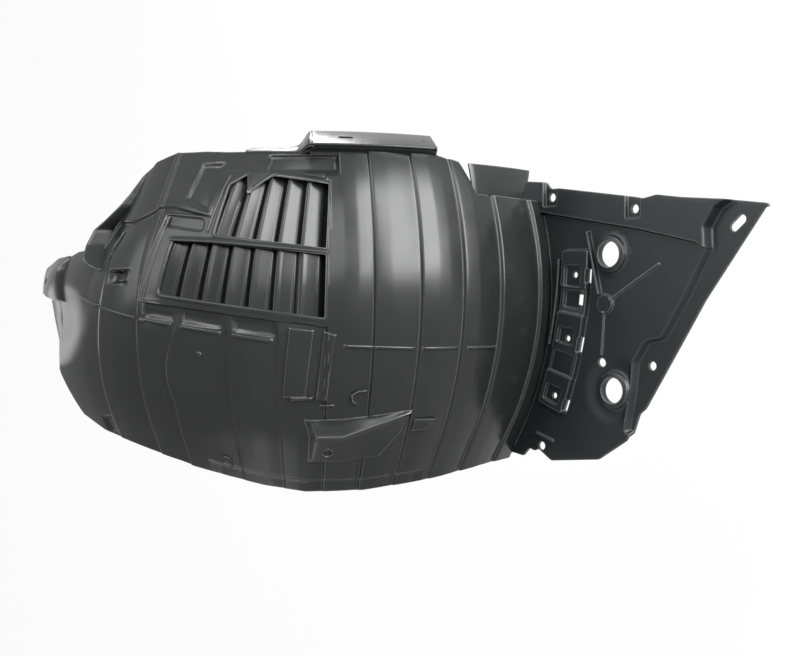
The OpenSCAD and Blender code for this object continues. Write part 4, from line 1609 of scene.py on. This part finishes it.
@dataclass
class SplashPlate:
    """Flat plate in front of the arch, with its flange, channel, clip pads, collars and deflector strip."""

    form: ArchForm
    slopes: PlateSlopes = PlateSlopes()
    two_faced: float = 1.3
    foot_span: tuple[float, float, float] = (-160.0, 141.0, 10.0)
    foot_angle: float = 102.0
    foot_sink: float = 1.5
    foot_inset: float = 1.0
    foot_height: float = 0.5
    foot_ridge: Pair = (1.6, 4.2)
    foot_rise: float = 2.2
    drop: float = 69.0
    inboard: tuple[Pair, ...] = (
        (332, 144), (320, 158), (322, 172), (360, 168), (367, 160), (384, 159), (484, 143), (505, 139),
        (523, 142), (555, 137), (613, 131), (654, 125), (657, 121))
    front: tuple[Pair, ...] = ((652, 121), (578, 24), (545, -27), (498, -99), (490, -105), (478, -108))
    lobe: tuple[Pair, ...] = (
        (480, -131), (477, -136), (437, -160), (366, -166), (361, -163), (346, -153), (340, -156),
        (332, -153), (322, -163), (306, -160))
    flange_line: tuple[Pair, ...] = ((290, 139), (318, 139), (383, 126), (499, 104), (574, 86), (586, 79))
    flange_rise: float = 7.0
    channel_line: tuple[Pair, ...] = (
        (613, 131), (598, 123), (585, 103), (586, 79), (554, 24), (525, -19), (503, -23), (488, -45),
        (484, -80), (478, -108))
    channel_drop: float = 8.0
    access: tuple[Pair, Pair] = ((456, 78), (459, -79))
    access_radius: float = 15.0
    collar: tuple[Pair, ...] = ((15, 5.6), (15.8, 6.2), (17.6, 6), (20.5, 4.6), (22.5, 0.8), (24, 0))
    dish_radius: float = 42.0
    dish_depth: float = 2.6
    dish_share: float = 0.36
    dish_rings: tuple[float, ...] = (0.64, 0.73, 0.82, 0.91, 1.0)
    rim: tuple[Pair, ...] = ((0, -0.9), (0.4, -0.35), (0.9, -0.08), (1.5, 0))
    pads: tuple[Pair, Pair] = ((370, 149), (491, 128))
    pad_size: tuple[float, float, float] = (10.0, 10.5, 30.0)
    pad_depth: float = 5.0
    clips: tuple[Pair, ...] = ((442, -47), (352, -149), (508, -50), (370, 149), (491, 128))
    clip_radius: float = 5.0
    end_slot: Pair = (619, 105.5)
    end_slot_length: float = 12.0
    end_slot_turn: float = 40.0
    hub: Pair = (448, 21)
    hub_radius: float = 11.0
    hub_rise: float = 3.0
    ribs: tuple[tuple[Pair, Pair, float, float], ...] = (
        ((424, 106), (441, 32), 3.0, 6.0), ((455, 26), (523, 65), 2.0, 2.2),
        ((446, 12), (442, -38), 2.0, 2.2), ((344, -133), (370, -142), 2.5, 2.5))
    strip_centre: Pair = (-120, 96)
    strip_radii: Pair = (509, 548)
    strip_ends: Pair = (-22, -1.2)
    strip_height: float = 8.0
    strip_dips: tuple[Pair, ...] = ((-9.4, -6.1), (-17.3, -14.3))
    strip_dip: float = 2.5
    recesses: tuple[Pair, ...] = ((-5.9, -3.3), (-8.7, -6.5), (-13.3, -11.3), (-21.2, -19.1))
    recess_depth: float = 3.5
    slots: tuple[tuple[float, float, float, float], ...] = (
        (-5.3, -3.6, 0.0, 2.5), (-8.1, -6.8, 4.0, 8.5), (-13.9, -12, 0.0, 2.5), (-21.6, -20.1, 0.0, 2.5))
    strip_clips: tuple[float, ...] = (-4.4, -12.6, -20.3)
    guard_rib: tuple[float, float, float, float] = (-14, -2.4, 5.0, 2.5)

    def foot(self) -> Array:
        """Plan of the arch's foot, where the plate starts.

        Returns:
            Plan points from outboard to inboard.
        """
        y = np.arange(*self.foot_span)
        radius = self.form.base(np.full_like(y, self.foot_angle), y) + self.foot_height
        x = np.sqrt(radius**2 - (self.drop + self.foot_sink) ** 2) - self.foot_inset
        return np.stack([x, y], axis=1)

    def outline(self) -> Array:
        """Plan outline of the plate.

        Returns:
            Plan points, with the foot first.
        """
        corners = np.concatenate([self.foot(), self.inboard, self.front[:-1], self.lobe])
        sizes = [0.0] * len(self.foot()) + [2.5] * (len(corners) - len(self.foot()))
        return filleted(corners, sizes, 3)

    def sector(self, inner: float, outer: float, start: float, end: float, round_off: float = 2.0) -> Array:
        """Plan outline of a sector of the strip, with rounded corners.

        Args:
            inner: Smaller radius.
            outer: Larger radius.
            start: First angle.
            end: Last angle.
            round_off: Rounding of its corners.

        Returns:
            Plan points.
        """
        count = max(2, math.ceil((end - start) / 1.5))
        angles = np.radians(np.linspace(start, end, count + 1))
        turn = np.stack([np.cos(angles), np.sin(angles)], axis=1)
        corners = np.concatenate([outer * turn, inner * turn[::-1]]) + self.strip_centre
        sizes = [0.0] * len(corners)
        for index in (0, count, count + 1, len(corners) - 1):
            sizes[index] = round_off
        return filleted(corners, sizes, 4)

    def fields(self) -> list[Field]:
        """Raised and sunk fields of the plate.

        Returns:
            The fields, with the channel second.
        """
        behind = [(613, 131), (640, 190), (290, 200)]
        ahead = [(476, -125), (520, -140), (620, 0), (700, 118), (690, 160), (640, 160)]
        flange = list(self.flange_line) + list(self.channel_line[2:0:-1]) + behind
        channel = list(self.channel_line) + ahead
        low, high = self.strip_radii
        slopes = self.slopes
        fields = [
            Field(filleted(flange, [1] + [2] * 8 + [1, 1], 4), self.flange_rise, slopes.flange),
            Field(filleted(channel, [3] * 9 + [2] * 7, 4), -self.channel_drop, slopes.channel),
            Field(self.sector(low, high, *self.strip_ends, 4.0), self.strip_height, slopes.strip)]
        fields += [
            Field(self.sector(low - 1, high + 1, *ends, 0.5), -self.strip_dip, slopes.dip)
            for ends in self.strip_dips]
        fields += [
            Field(self.sector(low + 6, high - 10, *ends, 2.0), -self.recess_depth, slopes.recess)
            for ends in self.recesses]
        half, back, front = self.pad_size
        for x, y in self.pads:
            pad = [(x - half, y - back), (x + half, y - back), (x + half, y + front), (x - half, y + front)]
            fields.append(Field(filleted(pad, [2, 2, 0, 0]), -self.pad_depth, slopes.pad))
        for start, end, width, height in self.ribs:
            fields.append(Field(self.bar(start, end, width), height, slopes.rib))
        fields.append(Field(self.hub + stadium(self.hub_radius), self.hub_rise, slopes.hub))
        foot = self.foot()[1:-1]
        near, far = self.foot_ridge
        ridge = np.concatenate([foot + (far, 0), foot[::-1] + (near, 0)])
        fields.append(Field(ridge, self.foot_rise, slopes.foot))
        first, last, far, near = self.guard_rib
        guard = self.sector(low - far, low - near, first, last, 1.0)
        fields.append(Field(guard, self.strip_height + 1, slopes.rib))
        return fields

    @staticmethod
    def bar(start: Pair, end: Pair, width: float) -> Array:
        """Plan outline of a straight rib.

        Args:
            start: Middle of one end.
            end: Middle of the other end.
            width: Width of the rib.

        Returns:
            Plan points.
        """
        a, b = np.array(start, float), np.array(end, float)
        along = (b - a) / np.linalg.norm(b - a)
        side = np.array([-along[1], along[0]]) * width / 2
        return filleted([tuple(a - side), tuple(b - side), tuple(b + side), tuple(a + side)], width / 3, 3)

    def holes(self) -> list[Array]:
        """Plan outlines of the holes.

        Returns:
            The outlines.
        """
        holes = [center + stadium(self.access_radius, sides=72) for center in self.access]
        holes += [center + stadium(self.clip_radius) for center in self.clips]
        holes.append(self.end_slot + stadium(self.clip_radius, self.end_slot_length, self.end_slot_turn))
        high = self.strip_radii[1]
        for start, end, inset, width in self.slots:
            outer = high - inset + (1.0 if inset == 0 else 0.0)
            holes.append(self.sector(high - inset - width, outer, start, end, 0.8))
        middle = sum(self.strip_radii) / 2
        for angle in np.radians(self.strip_clips):
            place = np.array([math.cos(angle), math.sin(angle)]) * middle + self.strip_centre
            holes.append(place + stadium(self.clip_radius - 1.5, sides=28))
        return holes

    def build(self) -> list[bpy.types.Object]:
        """Makes the plate.

        Returns:
            A list with the new piece.
        """
        outline, fields = self.outline(), self.fields()
        lines = [line for shape in fields for line in shape.lines(self.form.wall)]
        lines += [
            center + stadium(radius, sides=64) for center in self.access for radius, _ in self.collar[1:]]
        lines += [self.access[1] + stadium(self.dish_radius * share) for share in self.dish_rings]
        lines += [beside(outline[::-1], inset, closed=True) for inset, _ in self.rim[1:]]
        sheet = PlanSheet(outline, self.holes(), [(line, True) for line in lines], 6.0, lattice=True)
        wall, channel = self.form.wall, fields[1]

        def raised(plan: Array) -> tuple[Array, Array]:
            """Height that the collars add, and the depth of the dish around the outboard one.

            Args:
                plan: Plan points.

            Returns:
                Both at each point.
            """
            collar = np.zeros(len(plan))
            for center in self.access:
                collar = collar + table(np.linalg.norm(plan - center, axis=1), self.collar)
            away = np.linalg.norm(plan - self.access[1], axis=1)
            wide = self.dish_radius * self.dish_share
            dish = self.dish_depth * soft_step(self.dish_radius - away, 0.0, wide)
            return collar, dish * (1.0 + channel.rise(plan, -wall - 1.0) / self.channel_drop)

        def top(plan: Array) -> Array:
            """Height of the upper face.

            Args:
                plan: Plan points.

            Returns:
                Height at each point.
            """
            collar, dish = raised(plan)
            edge = table(depth_inside(plan, outline), self.rim)
            return collar - dish + edge + sum(shape.rise(plan) for shape in fields)

        def bottom(plan: Array) -> Array:
            """Height of the lower face, which follows the upper one a wall below it.

            Args:
                plan: Plan points.

            Returns:
                Height at each point.
            """
            thin = [shape for shape in fields if abs(shape.height) > wall and shape.slope > self.two_faced]
            return -wall - raised(plan)[1] + sum(
                shape.rise(plan, math.copysign(wall, shape.height)) for shape in thin)

        def place(plan: Array, height: Array) -> Array:
            """Point of the plate in metres."""
            return np.stack([plan[:, 0], plan[:, 1], height - self.drop], axis=1) * MM

        buffer = MeshBuffer()
        sheet.add_to(buffer, place, top, bottom)
        return [buffer.build("splash_plate", 30.0)]


def add_node(tree: bpy.types.NodeTree, kind: str, inputs: dict[str | int, object],
             **settings: object) -> bpy.types.Node:
    """Adds a shader node.

    Args:
        tree: Node tree that takes it.
        kind: Kind of node, without the words ahead of it.
        inputs: Number, colour or socket of each input.
        **settings: Properties of the node itself.

    Returns:
        The node.
    """
    node = tree.nodes.new("ShaderNode" + kind)
    for name, value in settings.items():
        setattr(node, name, value)
    for key, value in inputs.items():
        if isinstance(value, bpy.types.NodeSocket):
            tree.links.new(value, node.inputs[key])
        else:
            node.inputs[key].default_value = value
    return node


def ranged(tree: bpy.types.NodeTree, value: bpy.types.NodeSocket, given: Pair,
           wanted: Pair) -> bpy.types.NodeSocket:
    """Turns a value from one range into another.

    Args:
        tree: Node tree that takes the node.
        value: Socket of the value.
        given: Ends of its own range.
        wanted: Ends of the new range.

    Returns:
        Socket of the result.
    """
    node = add_node(tree, "MapRange", {
        "Value": value, "From Min": given[0], "From Max": given[1], "To Min": wanted[0], "To Max": wanted[1]})
    return node.outputs["Result"]


@dataclass(frozen=True)
class PlasticFinish:
    """Satin black moulded plastic with a fine grain.

    The grain and the gloss vary with place, so large faces don't look painted.
    """

    name: str
    colour: tuple[float, float, float] = (0.011, 0.0115, 0.0113)
    roughness: float = 0.24
    roughness_swing: float = 0.04
    specular: float = 0.28
    grain_size: float = 900.0
    grain: float = 0.05
    waves: float = 0.12
    edge_width: float = 2.4
    # How much paler the edges are painted: mostly a painted highlight standing in for edge reflections,
    # partly rubbed wear.
    edge_sheen_and_wear: float = 0.10
    edge_bend: Pair = (0.985, 0.85)
    colour_swing: Pair = (0.86, 1.14)
    noise_middle: Pair = (0.3, 0.7)
    colour_noise: Pair = (14.0, 4.0)
    gloss_noise: Pair = (22.0, 6.0)
    wave_noise: Pair = (18.0, 1.0)
    grain_detail: float = 2.0
    wave_depth: float = 0.004
    grain_depth: float = 0.0004

    def edges(self, tree: bpy.types.NodeTree) -> bpy.types.NodeSocket:
        """Is 1 along the edges, which are painted paler as a highlight (partly also rubbed wear), and 0 on
        the faces.

        Args:
            tree: Node tree of the material.

        Returns:
            Socket of the value.
        """
        soft = add_node(tree, "Bevel", {"Radius": self.edge_width * MM}, samples=4).outputs["Normal"]
        shape = add_node(tree, "NewGeometry", {}).outputs["Normal"]
        turn = add_node(tree, "VectorMath", {0: soft, 1: shape}, operation="DOT_PRODUCT")
        return ranged(tree, turn.outputs["Value"], self.edge_bend, (0.0, 1.0))

    def material(self) -> bpy.types.Material:
        """Makes the material.

        Returns:
            The material.
        """
        material = bpy.data.materials.new(self.name)
        material.use_nodes = True
        tree = material.node_tree
        shader = tree.nodes["Principled BSDF"]
        shader.inputs["Specular IOR Level"].default_value = self.specular
        place = add_node(tree, "TexCoord", {}).outputs["Object"]

        def noise(scale: float, detail: float) -> bpy.types.NodeSocket:
            """Noise at a scale in the piece's own space."""
            inputs = {"Vector": place, "Scale": scale, "Detail": detail}
            return add_node(tree, "TexNoise", inputs).outputs["Fac"]

        def mixed(a: object, b: object, share: bpy.types.NodeSocket) -> bpy.types.NodeSocket:
            """Mix of two colours."""
            inputs = {"A": a, "B": b, "Factor": share}
            return add_node(tree, "Mix", inputs, data_type="RGBA").outputs["Result"]

        dark, pale = ((*(share * part for part in self.colour), 1.0) for share in self.colour_swing)
        # Paler colour along the edges: a painted highlight for the bright edge reflections, partly rubbed
        # wear.
        sheen_and_wear_colour = (*(part + self.edge_sheen_and_wear for part in self.colour), 1.0)
        colour = mixed(dark, pale, ranged(tree, noise(*self.colour_noise), self.noise_middle, (0.0, 1.0)))
        gloss = (self.roughness - self.roughness_swing, self.roughness + self.roughness_swing)
        soft = add_node(tree, "Bump", {
            "Strength": self.waves, "Distance": self.wave_depth, "Height": noise(*self.wave_noise)})
        fine = add_node(tree, "Bump", {
            "Strength": self.grain, "Distance": self.grain_depth,
            "Height": noise(self.grain_size, self.grain_detail), "Normal": soft.outputs["Normal"]})
        for name, value in (
                ("Base Color", mixed(colour, sheen_and_wear_colour, self.edges(tree))),
                ("Roughness", ranged(tree, noise(*self.gloss_noise), self.noise_middle, gloss)),
                ("Normal", fine.outputs["Normal"])):
            tree.links.new(value, shader.inputs[name])
        return material


class Shade(Enum):
    """Which finish a piece of the liner takes."""

    ARCH = PlasticFinish("satin_arch_plastic")
    PLATE = PlasticFinish("dull_plate_plastic", (0.010, 0.0105, 0.0115), 0.40, 0.05, 0.30, 700.0, 0.08, 0.08)


@dataclass(frozen=True)
class SoftPanel:
    """Rectangular studio light, placed by its direction from the middle of the liner."""

    name: str
    azimuth: float
    elevation: float
    width: float
    height: float
    brightness: float
    distance: float = 1.5
    target: Place = (0.2, 0.0, 0.1)

    def build(self) -> None:
        """Makes the light."""
        lamp = bpy.data.lights.new(self.name, "AREA")
        lamp.shape = "RECTANGLE"
        lamp.size, lamp.size_y = self.width, self.height
        lamp.energy = self.brightness * math.pi * self.width * self.height
        turn, tilt = math.radians(self.azimuth), math.radians(self.elevation)
        away = Vector((math.cos(turn) * math.cos(tilt), math.sin(turn) * math.cos(tilt), math.sin(tilt)))
        holder = bpy.data.objects.new(self.name, lamp)
        holder.location = Vector(self.target) + away * self.distance
        holder.rotation_euler = away.to_track_quat("Z", "Y").to_euler()
        holder.visible_camera = False
        bpy.context.collection.objects.link(holder)


@dataclass
class Studio:
    """Pale floor, soft panels and the camera."""

    camera_angle: float = 46.0
    camera_distance: float = 1.870
    camera_right: float = 0.123
    camera_up: float = -0.007
    focal: float = 62.1
    floor_gap: float = 0.38
    floor_size: float = 12.0
    floor_glow: float = 0.93
    fill: float = 0.2
    panels: tuple[SoftPanel, ...] = (
        SoftPanel("window_panel", 26, -4, 1.05, 0.84, 18.5),
        SoftPanel("upper_panel", 28, 32, 0.8, 0.5, 6.0),
        SoftPanel("louvre_panel", 66, 44, 0.6, 0.6, 11.0),
        SoftPanel("inboard_panel", 108, 56, 1.0, 0.9, 4.4),
        SoftPanel("low_panel", 118, -20, 0.7, 0.3, 24.0),
        SoftPanel("rear_panel", 176, 26, 0.5, 0.4, 3.8),
        SoftPanel("outboard_panel", 266, 16, 1.0, 0.7, 2.6))

    def build_camera(self) -> None:
        """Makes the camera at the photograph's angle."""
        turn = math.radians(self.camera_angle)
        right = Vector((math.cos(turn), 0, -math.sin(turn)))
        back = Vector((math.sin(turn), 0, math.cos(turn)))
        up = Vector((0, 1, 0))
        lens = bpy.data.cameras.new("camera")
        lens.sensor_width = 36.0
        lens.lens = self.focal
        lens.clip_end = 100.0
        holder = bpy.data.objects.new("camera", lens)
        place = right * self.camera_right + up * self.camera_up + back * self.camera_distance
        holder.matrix_world = axes_at(right, up, back, place)
        bpy.context.collection.objects.link(holder)
        bpy.context.scene.camera = holder

    @staticmethod
    def seen(tree: bpy.types.NodeTree) -> bpy.types.NodeSocket:
        """Is 1 for rays from the camera and for reflected and passed rays.

        Args:
            tree: Node tree that asks.

        Returns:
            Socket of the value.
        """
        rays = add_node(tree, "LightPath", {}).outputs
        value = rays["Is Camera Ray"]
        for name in ("Is Glossy Ray", "Is Transmission Ray"):
            value = add_node(tree, "Math", {0: value, 1: rays[name]}, operation="MAXIMUM").outputs["Value"]
        return value

    def build_world(self) -> None:
        """Makes a white surround that lights the object softly."""
        world = bpy.data.worlds.new("surround")
        world.use_nodes = True
        tree = world.node_tree
        background = tree.nodes["Background"]
        background.inputs["Color"].default_value = (1, 1, 1, 1)
        strength = ranged(tree, self.seen(tree), (0.0, 1.0), (self.fill, 1.0))
        tree.links.new(strength, background.inputs["Strength"])
        bpy.context.scene.world = world

    def build_floor(self) -> None:
        """Makes the floor, which looks white and keeps a faint shadow."""
        buffer = MeshBuffer()
        half, height = self.floor_size / 2, CAD_BOX[0][2] - self.floor_gap
        corners = [(-half, -half, height), (half, -half, height), (half, half, height), (-half, half, height)]
        buffer.add(np.array(corners), [(0, 1, 2, 3)])
        floor = buffer.build("floor")
        material = bpy.data.materials.new("pale_floor")
        material.use_nodes = True
        tree = material.node_tree
        shader = tree.nodes["Principled BSDF"]
        shader.inputs["Base Color"].default_value = (0.9, 0.9, 0.9, 1)
        shader.inputs["Roughness"].default_value = 0.9
        glow = add_node(tree, "Emission", {}).outputs["Emission"]
        share = add_node(tree, "Math", {0: self.seen(tree), 1: self.floor_glow}, operation="MULTIPLY")
        mix = add_node(tree, "MixShader", {"Fac": share.outputs["Value"], 1: shader.outputs["BSDF"], 2: glow})
        tree.links.new(mix.outputs["Shader"], tree.nodes["Material Output"].inputs["Surface"])
        floor.data.materials.append(material)

    def build(self) -> None:
        """Makes the whole studio."""
        self.build_camera()
        self.build_world()
        self.build_floor()
        for panel in self.panels:
            panel.build()
        bpy.context.scene.view_settings.view_transform = "Standard"


class Liner:
    """The whole liner: builds its pieces in order, dresses them and rides them on the body."""

    def __init__(self) -> None:
        """Starts with the shared forms and both finishes."""
        self.relief = ArchRelief()
        self.finishes = {shade: shade.value.material() for shade in Shade}
        self.pieces: list[bpy.types.Object] = []

    def take(self, piece: bpy.types.Object, shade: Shade) -> None:
        """Dresses a piece and makes it ride.

        Args:
            piece: Piece to finish.
            shade: Finish that it takes.
        """
        piece.data.materials.clear()
        piece.data.materials.append(self.finishes[shade])
        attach(piece, BODY)
        self.pieces.append(piece)
        LOG.info("%s: %d faces", piece.name, len(piece.data.polygons))

    def build(self) -> None:
        """Makes every piece and puts them in place of the plain solid."""
        relief, form = self.relief, self.relief.form
        louvres, beads = LouvrePanel(relief), Beads(relief)
        assemblies = (
            (ArchShell(relief, louvres.room()), Shade.ARCH),
            (louvres, Shade.ARCH),
            (beads, Shade.ARCH),
            (SmallMarks(beads), Shade.ARCH),
            (ScrewBoss(relief), Shade.ARCH),
            (RearFlange(relief), Shade.ARCH),
            (UpperBracket(form), Shade.ARCH),
            (CornerTab(form), Shade.ARCH),
            (SplashPlate(form), Shade.PLATE))
        for assembly, shade in assemblies:
            for piece in assembly.build():
                self.take(piece, shade)
        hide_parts(NODE)


def main() -> None:
    """Builds the studio and the liner."""
    logging.basicConfig(level=logging.INFO, format="%(name)s %(message)s")
    Studio().build()
    Liner().build()
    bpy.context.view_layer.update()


if __name__ == "__main__":
    main()
